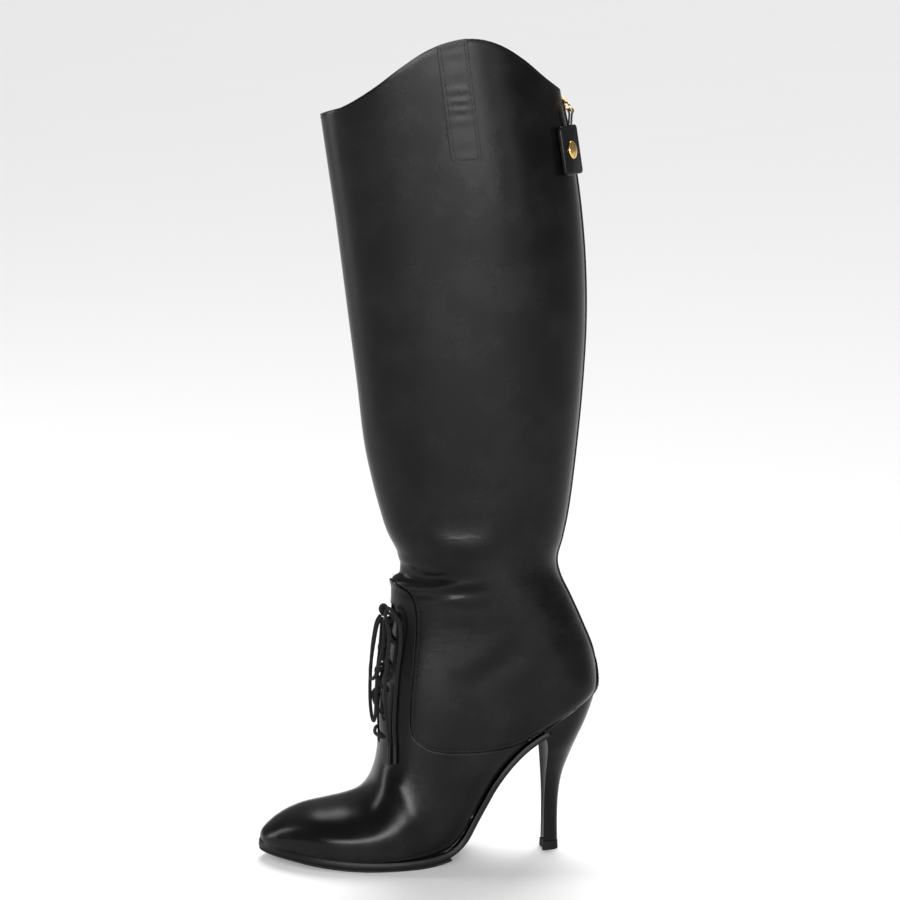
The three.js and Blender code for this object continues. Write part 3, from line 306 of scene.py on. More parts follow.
@dataclass
class Last:
    """The form that the leather is pulled over, with its foot and its leg.

    A place runs over the sections. An angle goes round a section: 0 at its front or top end, a quarter turn
    at the outer side, a half at its back or bottom end and three quarters at the inner side.
    """

    boot_length: float = 207.7
    heel_overhang: float = 28.3
    heel_height: float = 103.0
    toe_spring: float = 6.4
    instep_height: float = 82.3
    ball_width: float = 76.0
    ankle_pinch: float = 25.1
    calf_depth: float = 145.0
    calf_width: float = 88.0
    shaft_height: float = 323.0
    tread_level: float = 4.85
    collar_rise: float = 49.0
    collar_back_rise: float = 12.0
    collar_swell: float = 3.0
    crook_share: float = 0.415
    collar_lean: float = 0.07
    columns: dict[str, Array] = field(default_factory=dict)

    def __post_init__(self) -> None:
        """Turns the two tables into columns of millimetres."""
        self.toe_x = self.heel_overhang - self.boot_length
        self.crook_level = self.heel_height + self.instep_height
        self.ankle_back = self.heel_overhang - self.ankle_pinch
        self.crook_x = self.toe_x + self.crook_share * self.boot_length
        self.flare = self.calf_depth - (self.ankle_back - self.crook_x)
        self.front_collar_x = self.crook_x - self.flare
        self.back_collar_x = self.ankle_back + self.collar_lean * self.flare
        self.front_collar_z = self.crook_level + self.shaft_height - self.collar_rise
        foot = np.array(FOOT_SECTIONS).T
        leg = np.array(LEG_SECTIONS).T
        climb = self.heel_height - self.tread_level
        pairs = {
            "back_x": (self.toe_x + foot[0] * self.boot_length, self.ankle_back + leg[2] * self.flare),
            "back_z": (
                self.tread_level + foot[1] * self.toe_spring + foot[2] * climb,
                self.crook_level + leg[0] * self.shaft_height,
            ),
            "front_x": (self.toe_x + foot[3] * self.boot_length, self.crook_x - leg[3] * self.flare),
            "front_z": (
                foot[4] * self.heel_height + foot[5] * self.instep_height,
                self.crook_level + leg[1] * self.shaft_height,
            ),
            "swing": (foot[6] * self.ball_width, 0 * leg[0]),
            "outer": (foot[7] * self.ball_width, leg[4] * self.calf_width),
            "inner": (foot[8] * self.ball_width, leg[5] * self.calf_width),
            "belly": (foot[9], leg[6]),
            "crown": (foot[10], leg[7]),
            "seat": (foot[11], leg[8]),
        }
        self.columns = {key: np.concatenate(pair) for key, pair in pairs.items()}
        self.top = len(foot[0]) + len(leg[0]) - 1

    def column(self, key: str, place: Array) -> Array:
        """Returns one column of the sections, read between them."""
        return smooth_value(self.columns[key], place)

    def point(self, place: Array, angle: Array) -> Array:
        """Finds points of the smooth form.

        Args:
            place: Places over the sections.
            angle: Angles round the sections.

        Returns:
            Points, in millimetres.
        """
        c, s = np.cos(angle), np.sin(angle)
        power = np.where(c >= 0, self.column("crown", place), self.column("seat", place))
        reach = (np.abs(c) ** power + np.abs(s) ** power) ** (-1 / power)
        belly = self.column("belly", place)
        along = belly + np.where(c >= 0, 1 - belly, belly) * c * reach
        half = np.where(s >= 0, -self.column("outer", place), self.column("inner", place))
        back_x, back_z = self.column("back_x", place), self.column("back_z", place)
        x = back_x + (self.column("front_x", place) - back_x) * along
        y = self.column("swing", place) + half * np.abs(s) * reach
        z = back_z + (self.column("front_z", place) - back_z) * along
        return np.stack([x, y, z], -1)

    def normal(self, place: Array, angle: Array) -> Array:
        """Finds the outward directions of the smooth form.

        Args:
            place: Places over the sections.
            angle: Angles round the sections.

        Returns:
            Directions of length one.
        """
        step = 0.02
        high = self.point(np.minimum(place + step, self.top), angle)
        low = self.point(np.maximum(place - step, 0), angle)
        turned = self.point(place, angle + step / 2) - self.point(place, angle - step / 2)
        away = np.cross(turned, high - low)
        tip = np.linalg.norm(away, axis=-1, keepdims=True) < 1e-9
        return np.where(tip, [-1.0, 0.0, 0.0], unit(away))

    def relief(self, points: Array) -> Array:
        """Works out how far the creases lift the leather at points of the form.

        Args:
            points: Points of the smooth form.

        Returns:
            Heights in millimetres.
        """
        x = points[..., 0] - self.crook_x
        z = points[..., 2] - self.crook_level
        side = np.where(points[..., 1] < 0, Side.OUTER.value, Side.INNER.value)
        return sum(crease.height(x, z, side) for crease in CREASES)

    def surface(self, place: Array, angle: Array, lift: float | Array = 0.0) -> Array:
        """Finds points of the creased leather.

        Args:
            place: Places over the sections.
            angle: Angles round the sections.
            lift: Distance outside the form, in millimetres.

        Returns:
            Points, in millimetres.
        """
        points = self.point(place, angle)
        height = self.relief(points) + lift
        return points + self.normal(place, angle) * height[..., None]

    def strip_angle(self, place: Array, half_width: float, face: Face, side: Side) -> Array:
        """Finds where a strip down the front or the back ends on one side.

        Args:
            place: Places over the sections.
            half_width: Half the strip's width.
            face: The end of the sections that the strip runs over.
            side: The side of the boot.

        Returns:
            Angles from the front, up to a half turn, on that side.
        """
        outer = side is Side.OUTER
        half = np.maximum(self.column("outer" if outer else "inner", place), 1e-6)
        share = np.clip((half_width + side.value * self.column("swing", place)) / half, 1e-4, 0.6)
        power = self.column("crown" if face is Face.FRONT else "seat", place)
        return np.arctan2(share, face.value * (1 - share**power) ** (1 / power))

    def find(self, targets: Array, axes: tuple[int, int], low: float, high: float) -> tuple[Array, Array]:
        """Finds the places of points that are known by two of their coordinates.

        Args:
            targets: The two coordinates of each point.
            axes: Which coordinates they are.
            low: The least angle to look at.
            high: The greatest angle to look at.

        Returns:
            The places and the angles.
        """
        targets = np.asarray(targets, float)
        places, angles = np.linspace(0, self.top, SEARCH_PLACES), np.linspace(low, high, SEARCH_ANGLES)
        spots, turns = (table.ravel() for table in np.meshgrid(places, angles, indexing="ij"))
        table = self.point(spots, turns)[:, axes]
        gaps = [((table - target) ** 2).sum(-1).argmin() for target in targets]
        place, angle = spots[gaps], turns[gaps]
        step = SEARCH_STEP
        for _ in range(SEARCH_ROUNDS):
            here = self.point(place, angle)[:, axes]
            up = (self.point(place + step, angle)[:, axes] - here) / step
            over = (self.point(place, angle + step)[:, axes] - here) / step
            miss = targets - here
            area = up[:, 0] * over[:, 1] - up[:, 1] * over[:, 0]
            area = np.where(np.abs(area) < 1e-6, 1e-6, area)
            rise = (miss[:, 0] * over[:, 1] - miss[:, 1] * over[:, 0]) / area
            turn = (up[:, 0] * miss[:, 1] - up[:, 1] * miss[:, 0]) / area
            place = np.clip(place + np.clip(rise, -PLACE_STRIDE, PLACE_STRIDE), 0, self.top)
            angle = np.clip(angle + np.clip(turn, -ANGLE_STRIDE, ANGLE_STRIDE), low, high)
        return place, angle

    def find_seen(self, targets: Array, side: Side) -> tuple[Array, Array]:
        """Finds places on one side from their x and z."""
        start = 0.0 if side is Side.OUTER else -math.pi
        return self.find(targets, (0, 2), start + EDGE_ANGLE, start + math.pi - EDGE_ANGLE)

    def find_end(self, targets: Array, face: Face) -> tuple[Array, Array]:
        """Finds places on the front or the back from their y and z."""
        middle = 0.0 if face is Face.FRONT else math.pi
        return self.find(targets, (1, 2), middle - END_ANGLE, middle + END_ANGLE)

    def collar_height(self, x: Array, side: Side) -> Array:
        """Finds the height of the collar's edge.

        Args:
            x: Places along the boot.
            side: The side of the boot.

        Returns:
            Heights.
        """
        level = np.clip((x - self.front_collar_x) / (self.back_collar_x - self.front_collar_x), 0, 1)
        if side is Side.OUTER:
            wave = smooth_value(np.array(COLLAR_WAVE), level * (len(COLLAR_WAVE) - 1))
            return self.front_collar_z + self.collar_rise * wave
        return self.front_collar_z + self.collar_back_rise * level + self.collar_swell * np.sin(math.pi * level)


class SoleLine:
    """The line of the sole from before the toe to behind the heel, and the last's feather edge beside it."""

    FIRST, LAST_ROW = 3, 22
    TOE_LEAD, HEEL_LEAD = 8.0, 14.0
    FINENESS = 40
    FEATHER = 0.75 * math.pi
    TIP_PLACE = 0.35

    def __init__(self, last: Last) -> None:
        """Lays the line through the lower ends of the foot's sections.

        Args:
            last: The boot's last.
        """
        self.last = last
        rows = np.stack([last.columns["back_x"], last.columns["back_z"]], -1)[self.FIRST : self.LAST_ROW + 1]
        before = rows[0] + unit(rows[0] - rows[1]) * self.TOE_LEAD
        behind = rows[-1] + unit(rows[-1] - rows[-2]) * self.HEEL_LEAD
        knots = np.concatenate([[before], rows, [behind]])
        places = np.linspace(0, len(knots) - 1, self.FINENESS * len(knots))
        self.track = np.stack([smooth_value(column, places) for column in knots.T], -1)
        self.run = running(self.track)
        self.heading = unit(np.gradient(self.track, axis=0))

    def spot(self, run: Array, side: Array, height: Array) -> Array:
        """Finds points beside and over the line.

        Args:
            run: Lengths along the line.
            side: Distances to the inner side.
            height: Distances over the line.

        Returns:
            Points, in millimetres.
        """
        run, side, height = np.broadcast_arrays(np.asarray(run, float), side, height)
        x, z = (np.interp(run, self.run, self.track[:, k]) for k in (0, 1))
        ahead, climb = (np.interp(run, self.run, self.heading[:, k]) for k in (0, 1))
        return np.stack([x - climb * height, side, z + ahead * height], -1)

    def measure(self, x: Array, z: Array) -> tuple[Array, Array]:
        """Finds how far along the line and over it points lie.

        Args:
            x: Places along the boot.
            z: Heights.

        Returns:
            The running lengths and the heights over the line.
        """
        flat = np.stack([np.ravel(x), np.ravel(z)], -1)
        nearest = np.array([((self.track - spot) ** 2).sum(-1).argmin() for spot in flat])
        gap = flat - self.track[nearest]
        heading = self.heading[nearest]
        run = self.run[nearest] + (gap * heading).sum(-1)
        height = heading[:, 0] * gap[:, 1] - heading[:, 1] * gap[:, 0]
        return run.reshape(np.shape(x)), height.reshape(np.shape(x))

    def _flat(self, place: Array, side: Side) -> Array:
        """Lays the last's feather edge out flat.

        Args:
            place: Places over the last's sections.
            side: The side of the boot.

        Returns:
            Running lengths and sides.
        """
        angle = self.FEATHER if side is Side.OUTER else 2 * math.pi - self.FEATHER
        points = self.last.point(np.maximum(place, 0.0), np.full(np.shape(place), angle))
        return np.stack([self.measure(points[..., 0], points[..., 2])[0], points[..., 1]], -1)

    def feather(self, place: Array, side: Side, margin: Array) -> Array:
        """Finds the edge of a sole layer, laid out flat.

        Args:
            place: Places over the last's sections.
            side: The side of the boot.
            margin: Distances outside the last's feather edge.

        Returns:
            Running lengths and sides.
        """
        place = np.asarray(place, float)
        firm = np.maximum(place, self.TIP_PLACE)
        heading = unit(self._flat(firm + 0.3, side) - self._flat(firm - 0.3, side))
        away = np.stack([heading[:, 1], -heading[:, 0]], -1) * side.value
        lean = np.arctan2(away[:, 1], -away[:, 0]) * np.clip(place / self.TIP_PLACE, 0, 1)
        away = np.stack([-np.cos(lean), np.sin(lean)], -1)
        return self._flat(place, side) + away * np.broadcast_to(margin, place.shape)[:, None]


# Meshes

def lattice(columns: int, rows: int) -> tuple[Array, Array]:
    """Returns the column and row number of each vertex of a sheet, one column after another."""
    return np.divmod(np.arange(columns * rows), rows)


def grid(columns: int, rows: int, points: Array, woven: bool = False) -> Mesh:
    """Makes a sheet of faces from a grid and lays it on a surface.

    Args:
        columns: How many lines of vertices run along the sheet.
        rows: How many vertices each line has.
        points: Where the vertices go, in the order of the lattice.
        woven: Whether its texture coordinates are in millimetres, for a weave.

    Returns:
        The sheet.
    """
    sheet = bmesh.new()
    sheet.loops.layers.uv.new("UVMap")
    bmesh.ops.create_grid(sheet, x_segments=columns - 1, y_segments=rows - 1, size=0.5, calc_uvs=True)
    corners = np.array([vertex.co[:2] for vertex in sheet.verts]) + 0.5
    column, row = np.rint(corners * [columns - 1, rows - 1]).astype(int).T
    laid = points.reshape(columns, rows, 3)
    for vertex, point in zip(sheet.verts, laid[column, row]):
        vertex.co = point
    if woven:
        width, length = line_length(laid[:, rows // 2]), line_length(laid[columns // 2])
        layer = sheet.loops.layers.uv.active
        for loop in (loop for face in sheet.faces for loop in face.loops):
            loop[layer].uv = (loop[layer].uv[0] * width, loop[layer].uv[1] * length)
    return sheet


def weld(mesh: Mesh, gap: float = 0.002) -> None:
    """Closes the seams and poles of a mesh."""
    bmesh.ops.remove_doubles(mesh, verts=mesh.verts[:], dist=gap)
    bmesh.ops.dissolve_degenerate(mesh, edges=mesh.edges[:], dist=gap / 4)


def face_outwards(mesh: Mesh) -> None:
    """Turns all the faces of a mesh outwards."""
    bmesh.ops.recalc_face_normals(mesh, faces=mesh.faces[:])


def close_ends(mesh: Mesh) -> None:
    """Fills the open ends of a mesh and turns its faces outwards."""
    bmesh.ops.holes_fill(mesh, edges=[edge for edge in mesh.edges if edge.is_boundary], sides=0)
    face_outwards(mesh)


def add_mesh(mesh: Mesh, other: Mesh) -> None:
    """Adds another mesh to a mesh, and frees the other.

    Args:
        mesh: The mesh that grows.
        other: The mesh that is added.
    """
    spare = bpy.data.meshes.new("spare")
    other.to_mesh(spare)
    other.free()
    mesh.from_mesh(spare)
    bpy.data.meshes.remove(spare)


def drop_faces(mesh: Mesh, unwanted: Callable[[Vector], bool]) -> None:
    """Deletes the faces whose middle is unwanted."""
    faces = [face for face in mesh.faces if unwanted(face.calc_center_median())]
    bmesh.ops.delete(mesh, geom=faces, context="FACES")


def tube(path: Array, radius: float, sides: int = 10, closed: bool = False) -> Mesh:
    """Makes a round tube along a path, twisting as little as it can.

    Args:
        path: Points of the path.
        radius: The tube's radius.
        sides: How many sides it has.
        closed: Whether the path ends where it starts.

    Returns:
        The tube, with its ends closed.
    """
    heading = unit(np.gradient(path, axis=0))
    first = np.zeros_like(path)
    start = np.cross(heading[0], INWARD)
    first[0] = unit(start if np.linalg.norm(start) > 0.1 else np.cross(heading[0], BACKWARD))
    for k in range(1, len(path)):
        first[k] = unit(first[k - 1] - heading[k] * (first[k - 1] @ heading[k]))
    second = np.cross(heading, first)
    column, row = lattice(sides + 1, len(path))
    turn = 2 * math.pi * column / sides
    out = first[row] * np.cos(turn)[:, None] + second[row] * np.sin(turn)[:, None]
    made = grid(sides + 1, len(path), path[row] + out * radius, woven=True)
    weld(made)
    if not closed:
        close_ends(made)
    face_outwards(made)
    return made


def basis(centre: Array, ahead: Array, away: Array) -> Matrix:
    """Returns the frame at a point with X ahead, Z away from the surface and Y across."""
    rows = np.stack([ahead, np.cross(away, ahead), away, centre], -1)
    return Matrix([*rows.tolist(), [0, 0, 0, 1]])


def bevel(mesh: Mesh, edges: Sequence[bmesh.types.BMEdge], width: float, segments: int) -> None:
    """Rounds edges of a mesh by a width, with a number of faces."""
    settings = {"affect": "EDGES", "profile": 0.5, "material": -1, "offset_type": "OFFSET"}
    bmesh.ops.bevel(mesh, geom=edges, offset=width, segments=segments, **settings)


def rise_of(edge: bmesh.types.BMEdge) -> float:
    """Returns how far one end of an edge lies over the other."""
    return abs(edge.verts[0].co.z - edge.verts[1].co.z)


def flat_block(size: Sequence[float], corner: float, segments: int) -> Mesh:
    """Makes a flat block with round upright corners.

    Args:
        size: Its length, width and thickness.
        corner: Width of the rounding.
        segments: How many faces the rounding has.

    Returns:
        The block, about the origin.
    """
    block = bmesh.new()
    bmesh.ops.create_cube(block, size=1, matrix=Matrix.Diagonal((*size, 1)))
    bevel(block, [edge for edge in block.edges if rise_of(edge) > size[2] / 2], corner, segments)
    return block


@dataclass(frozen=True)
class Stitch:
    """A stitch: the length that shows, the leather up to the next one and the thread's diameter."""

    length: float
    gap: float
    thread: float

    def sew(self, mesh: Mesh, path: Array, away: Array) -> None:
        """Sews a row of stitches along a path.

        Args:
            mesh: Where the stitches go.
            path: Closely spaced points on the leather.
            away: The outward direction at each point.
        """
        run = running(path)
        count = max(1, int(run[-1] // (self.length + self.gap)))
        pitch = run[-1] / count
        for k in range(count):
            ends = [k * pitch + self.gap / 2, (k + 1) * pitch - self.gap / 2]
            start, end = (np.array([np.interp(at, run, column) for column in path.T]) for at in ends)
            out = unit(np.array([np.interp(sum(ends) / 2, run, column) for column in away.T]))
            ahead = unit(end - start)
            where = basis((start + end) / 2, ahead, unit(out - ahead * (out @ ahead)))
            half = self.thread / 2
            size = Matrix.Diagonal((np.linalg.norm(end - start) / 2 + self.thread / 3, half, half, 1))
            bmesh.ops.create_uvsphere(mesh, u_segments=6, v_segments=4, radius=1, matrix=where @ size)


def finish_piece(
    name: str,
    mesh: Mesh,
    materials: Sequence[bpy.types.Material],
    replaced: Sequence[str] = (),
    body: str = "boot",
) -> bpy.types.Object:
    """Puts a mesh in metres, dresses it and hangs it on its body.

    Args:
        name: The piece's name.
        mesh: Its shape, in millimetres.
        materials: Its materials.
        replaced: The construction nodes that it stands for.
        body: The body that it rides on.

    Returns:
        The new object.
    """
    bmesh.ops.scale(mesh, vec=(METRES,) * 3, verts=mesh.verts[:])
    data = bpy.data.meshes.new(name)
    mesh.to_mesh(data)
    mesh.free()
    data.shade_smooth()
    for material in materials:
        data.materials.append(material)
    piece = bpy.data.objects.new(name, data)
    bpy.context.scene.collection.objects.link(piece)
    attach(piece, body)
    if replaced:
        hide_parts(*replaced)
    LOG.info("%s: %d faces", name, len(data.polygons))
    return piece


def give_wall(piece: bpy.types.Object, thickness: float, inside: int = 0, offset: float = -1) -> None:
    """Gives a sheet its thickness.

    Args:
        piece: The sheet.
        thickness: Its thickness in millimetres.
        inside: How many material slots further on the inner face's material is.
        offset: -1 for a wall inside the sheet, and 0 for one to both sides of it.
    """
    wall = piece.modifiers.new("wall", "SOLIDIFY")
    wall.thickness = thickness * METRES
    wall.offset = offset
    wall.material_offset = inside


def round_edges(piece: bpy.types.Object, width: float, segments: int = 2, angle: float = 50.0) -> None:
    """Rounds a piece's sharp edges.

    Args:
        piece: The piece.
        width: Width of the rounding in millimetres.
        segments: How many faces the rounding has.
        angle: The least angle of an edge that is rounded, in degrees.
    """
    edges = piece.modifiers.new("edges", "BEVEL")
    edges.width = width * METRES
    edges.segments = segments
    edges.limit_method = "ANGLE"
    edges.angle_limit = math.radians(angle)
    edges.harden_normals = False


# Finishes

class Signal:
    """A socket's output. Maths on a number adds Math nodes to its material."""

    def __init__(self, graph: "Graph", socket: bpy.types.NodeSocket) -> None:
        """Wraps a socket of a graph."""
        self.graph = graph
        self.socket = socket

    def _math(self, operation: str, *values: "Signal | float") -> "Signal":
        """Adds a Math node for an operation on values."""
        return self.graph.node("ShaderNodeMath", {"operation": operation}, dict(enumerate(values)))

    def __add__(self, other: "Signal | float") -> "Signal":
        """Adds."""
        return self._math("ADD", self, other)

    __radd__ = __add__

    def __mul__(self, other: "Signal | float") -> "Signal":
        """Multiplies."""
        return self._math("MULTIPLY", self, other)

    __rmul__ = __mul__

    def __sub__(self, other: "Signal | float") -> "Signal":
        """Subtracts."""
        return self._math("SUBTRACT", self, other)

    def __rsub__(self, other: "Signal | float") -> "Signal":
        """Subtracts this from another value."""
        return self._math("SUBTRACT", other, self)

    def __abs__(self) -> "Signal":
        """Drops the sign."""
        return self._math("ABSOLUTE", self)

    def sine(self) -> "Signal":
        """Takes the sine."""
        return self._math("SINE", self)

    def band(self, low: float, high: float) -> "Signal":
        """Rises smoothly from 0 at low to 1 at high."""
        values = {"Value": self, "From Min": low, "From Max": high}
        return self.graph.node("ShaderNodeMapRange", {"interpolation_type": "SMOOTHSTEP"}, values)


class Graph:
    """The nodes of one material, with coordinates in millimetres."""

    def __init__(self, name: str) -> None:
        """Starts a material with its shader.

        Args:
            name: The material's name.
        """
        self.material = bpy.data.materials.new(name)
        self.material.use_nodes = True
        self.tree = self.material.node_tree
        self.shader = self.tree.nodes["Principled BSDF"]

    def node(self, kind: str, settings: dict, values: dict, output: int | str = 0) -> Signal:
        """Adds a node.

        Args:
            kind: The node's type.
            settings: Its properties.
            values: Numbers or signals for its sockets, by name or number.
            output: Which output is wanted.

        Returns:
            The output.
        """
        made = self.tree.nodes.new(kind)
        for key, value in settings.items():
            setattr(made, key, value)
        for key, value in values.items():
            if isinstance(value, Signal):
                self.tree.links.new(value.socket, made.inputs[key])
            else:
                made.inputs[key].default_value = value
        return Signal(self, made.outputs[output])

    def place(self, scale: tuple[float, float, float] = (1, 1, 1)) -> Signal:
        """Returns the place on the object in millimetres, times a scale."""
        spot = self.node("ShaderNodeTexCoord", {}, {}, "Object")
        return self.node("ShaderNodeMapping", {}, {"Vector": spot, "Scale": [share * 1000 for share in scale]})

    def along(self, axis: str) -> Signal:
        """Returns one coordinate of the place on the object, in millimetres."""
        return self.node("ShaderNodeSeparateXYZ", {}, {0: self.place()}, axis)

    def woven(self, axis: str) -> Signal:
        """Returns one texture coordinate of the piece, in millimetres."""
        return self.node("ShaderNodeSeparateXYZ", {}, {0: self.node("ShaderNodeUVMap", {}, {})}, axis)

    def noise(self, size: float, detail: float = 3.0, scale: tuple[float, float, float] = (1, 1, 1)) -> Signal:
        """Returns a noise from 0 to 1 whose waves have a size in millimetres."""
        values = {"Vector": self.place(scale), "Scale": 1 / size, "Detail": detail, "Roughness": 0.55}
        return self.node("ShaderNodeTexNoise", {}, values)

    def cells(self, size: float) -> Signal:
        """Returns the distance from the middle of cells of a size in millimetres."""
        values = {"Vector": self.place(), "Scale": 1 / size}
        return self.node("ShaderNodeTexVoronoi", {"feature": "F1"}, values, "Distance")

    def tint(self, share: Signal, low: Sequence[float], high: Sequence[float]) -> Signal:
        """Mixes two colours by a share."""
        values = {0: share, 6: (*low, 1), 7: (*high, 1)}
        return self.node("ShaderNodeMix", {"data_type": "RGBA"}, values, 2)

    def raise_by(self, height: Signal, millimetres: float) -> Signal:
        """Turns a height from 0 to 1 into a relief of a depth in millimetres."""
        values = {"Height": height, "Distance": millimetres * METRES, "Strength": 1.0}
        return self.node("ShaderNodeBump", {}, values)

    def finish(self, **sockets: "Signal | float | tuple") -> bpy.types.Material:
        """Sets the shader's sockets.

        Args:
            sockets: Values or signals by socket, with underscores in its name.

        Returns:
            The material.
        """
        for key, value in sockets.items():
            socket = self.shader.inputs[key.replace("_", " ")]
            if isinstance(value, Signal):
                self.tree.links.new(value.socket, socket)
            else:
                socket.default_value = value
        return self.material


@dataclass(frozen=True)
class Leather:
    """Smooth calf leather with fine pores, soft unevenness and creasing where the ankle bends."""

    name: str
    colour: tuple[float, float, float] = (0.0022, 0.0022, 0.0024)
    worn: tuple[float, float, float] = (0.005, 0.0048, 0.0048)
    roughness: float = 0.22
    pore: float = 0.55
    pore_depth: float = 0.018
    unevenness: float = 0.05
    creasing: float = 0.16
    shine: float = 0.12

    def material(self) -> bpy.types.Material:
        """Builds the finish.

        Returns:
            A material.
        """
        graph = Graph(self.name)
        pores = graph.cells(self.pore).band(0.05, 0.6)
        uneven = graph.noise(9.0, 2.0)
        height = graph.along("Z")
        bend = height.band(100, 150) * (1 - height.band(200, 250))
        folds = graph.noise(5.0, 4.0, (0.35, 0.35, 1.3))
        relief = pores * self.pore_depth + uneven * self.unevenness + folds * bend * self.creasing
        shade = graph.noise(26.0, 4.0).band(0.35, 0.75)
        rough = self.roughness + 0.07 * graph.noise(3.5, 5.0) + 0.05 * bend * folds + 0.04 * shade
        return graph.finish(
            Base_Color=graph.tint(shade, self.colour, self.worn),
            Roughness=rough - 0.035,
            Specular_IOR_Level=self.shine,
            Normal=graph.raise_by(relief, 1.0),
        )


@dataclass(frozen=True)
class SoleStock:
    """Black edge-dressed sole leather or rubber, with fine scuffs."""

    name: str
    colour: tuple[float, float, float] = (0.004, 0.004, 0.004)
    scuffed: tuple[float, float, float] = (0.018, 0.017, 0.016)
    roughness: float = 0.34
    grain: float = 0.35
    depth: float = 0.03

    def material(self) -> bpy.types.Material:
        """Builds the finish.

        Returns:
            A material.
        """
        graph = Graph(self.name)
        scuffs = graph.noise(2.0, 6.0, (0.3, 1.0, 1.0)).band(0.55, 0.8)
        grain = graph.noise(self.grain, 3.0)
        low = 1 - graph.along("Z").band(0.0, 9.0)
        return graph.finish(
            Base_Color=graph.tint(scuffs * (0.35 + 0.65 * low), self.colour, self.scuffed),
            Roughness=self.roughness + 0.15 * scuffs + 0.1 * grain,
            Specular_IOR_Level=0.12,
            Normal=graph.raise_by(grain * self.depth + scuffs * 0.02, 1.0),
        )


@dataclass(frozen=True)
class Lining:
    """Thin matt lining leather with a soft nap."""

    name: str
    colour: tuple[float, float, float] = (0.011, 0.0105, 0.0105)
    rubbed: tuple[float, float, float] = (0.026, 0.024, 0.023)

    def material(self) -> bpy.types.Material:
        """Builds the finish.

        Returns:
            A material.
        """
        graph = Graph(self.name)
        rubbed = graph.noise(14.0, 5.0).band(0.4, 0.75)
        pores = graph.cells(0.8).band(0.0, 0.5)
        return graph.finish(
            Base_Color=graph.tint(rubbed, self.colour, self.rubbed),
            Roughness=0.55 + 0.2 * graph.noise(1.5),
            Sheen_Weight=0.15,
            Normal=graph.raise_by(pores * 0.05 + rubbed * 0.06, 1.0),
        )


@dataclass(frozen=True)
class Braid:
    """A tubular cotton braid or plain woven tape, patterned along the piece's own coordinates."""

    name: str
    colour: tuple[float, float, float] = (0.0015, 0.0015, 0.0015)
    # Colour of the weave's raised crests, lighter as a painted highlight
    crest_highlight: tuple[float, float, float] = (0.008, 0.0078, 0.0078)
    yarn: float = 0.55
    slant: float = 1.0
    depth: float = 0.12

    def material(self) -> bpy.types.Material:
        """Builds the finish.

        Returns:
            A material.
        """
        graph = Graph(self.name)
        across = graph.woven("X") * (math.pi / self.yarn)
        along = graph.woven("Y") * (math.pi / self.yarn)
        over = abs((across + self.slant * along).sine())
        under = abs((along - self.slant * across).sine())
        weave = over * under
        fuzz = graph.noise(0.25, 4.0)
        return graph.finish(
            # The weave's crests take the lighter colour and its hollows the darker one: painted highlight and
            # painted shade, with random tone from the fuzz
            Base_Color=graph.tint(weave * 0.8 + fuzz * 0.2, self.colour, self.crest_highlight),
            Roughness=0.7 + 0.2 * fuzz,
            Specular_IOR_Level=0.15,
            Sheen_Weight=0.03,
            Sheen_Roughness=0.5,
            Normal=graph.raise_by(weave * self.depth + fuzz * 0.04, 1.0),
        )


@dataclass(frozen=True)
class Thread:
    """Waxed sewing thread."""

    name: str
    colour: tuple[float, float, float] = (0.0025, 0.0025, 0.0025)
    # Lighter colour for the raised ridges of the twist: a painted highlight
    light: tuple[float, float, float] = (0.014, 0.0135, 0.013)

    def material(self) -> bpy.types.Material:
        """Builds the finish.

        Returns:
            A material.
        """
        graph = Graph(self.name)
        twist = graph.noise(0.3, 2.0, (1.0, 1.0, 2.5))
        return graph.finish(
            # The twist's raised ridges, from the same noise as the bump, take the lighter colour: a painted
            # highlight
            Base_Color=graph.tint(twist.band(0.35, 0.7), self.colour, self.light),
            Roughness=0.45 + 0.2 * twist,
            Specular_IOR_Level=0.2,
            Normal=graph.raise_by(twist * 0.06, 1.0),
        )


@dataclass(frozen=True)
class Brass:
    """Polished yellow brass with slight tarnish and hairline scratches."""

    name: str
    colour: tuple[float, float, float] = (0.86, 0.56, 0.17)
    tarnish: tuple[float, float, float] = (0.5, 0.29, 0.09)

    def material(self) -> bpy.types.Material:
        """Builds the finish.

        Returns:
            A material.
        """
        graph = Graph(self.name)
        dull = graph.noise(2.2, 5.0).band(0.45, 0.8)
        scratches = graph.noise(0.35, 3.0, (1.0, 0.15, 1.0))
        return graph.finish(
            Base_Color=graph.tint(dull, self.colour, self.tarnish),
            Metallic=1.0,
            Roughness=0.17 + 0.22 * dull + 0.08 * scratches,
            Normal=graph.raise_by(scratches * 0.012, 1.0),
        )


@dataclass(frozen=True)
class Floor:
    """The plain pale floor."""

    name: str
    colour: tuple[float, float, float] = (0.86, 0.86, 0.86)

    def material(self) -> bpy.types.Material:
        """Builds the finish.

        Returns:
            A material.
        """
        graph = Graph(self.name)
        shade = graph.noise(400.0, 2.0)
        warm = tuple(0.98 * share for share in self.colour)
        return graph.finish(Base_Color=graph.tint(shade, self.colour, warm), Roughness=0.6 + 0.1 * shade)


class Finishes:
    """All the boot's finishes."""

    def __init__(self) -> None:
        """Makes each material once."""
        self.calf = Leather("calf").material()
        self.vamp_calf = Leather("vamp_calf", roughness=0.21, creasing=0.08).material()
        self.heel_calf = Leather("heel_calf", creasing=0.0, unevenness=0.02).material()
        self.trim_calf = Leather("trim_calf", roughness=0.26, creasing=0.0, unevenness=0.03).material()
        self.lining = Lining("lining").material()
        self.sole_edge = SoleStock("sole_edge").material()
        self.rubber = SoleStock("rubber", roughness=0.55, grain=0.8, depth=0.08).material()
        self.lace = Braid("lace_braid").material()
        self.tape = Braid("zip_tape_cloth", yarn=0.45, slant=0.0, depth=0.08).material()
        self.teeth = SoleStock("zip_teeth", roughness=0.28, grain=0.5, depth=0.01).material()
        self.thread = Thread("thread").material()
        self.brass = Brass("brass").material()


# Sub-assemblies

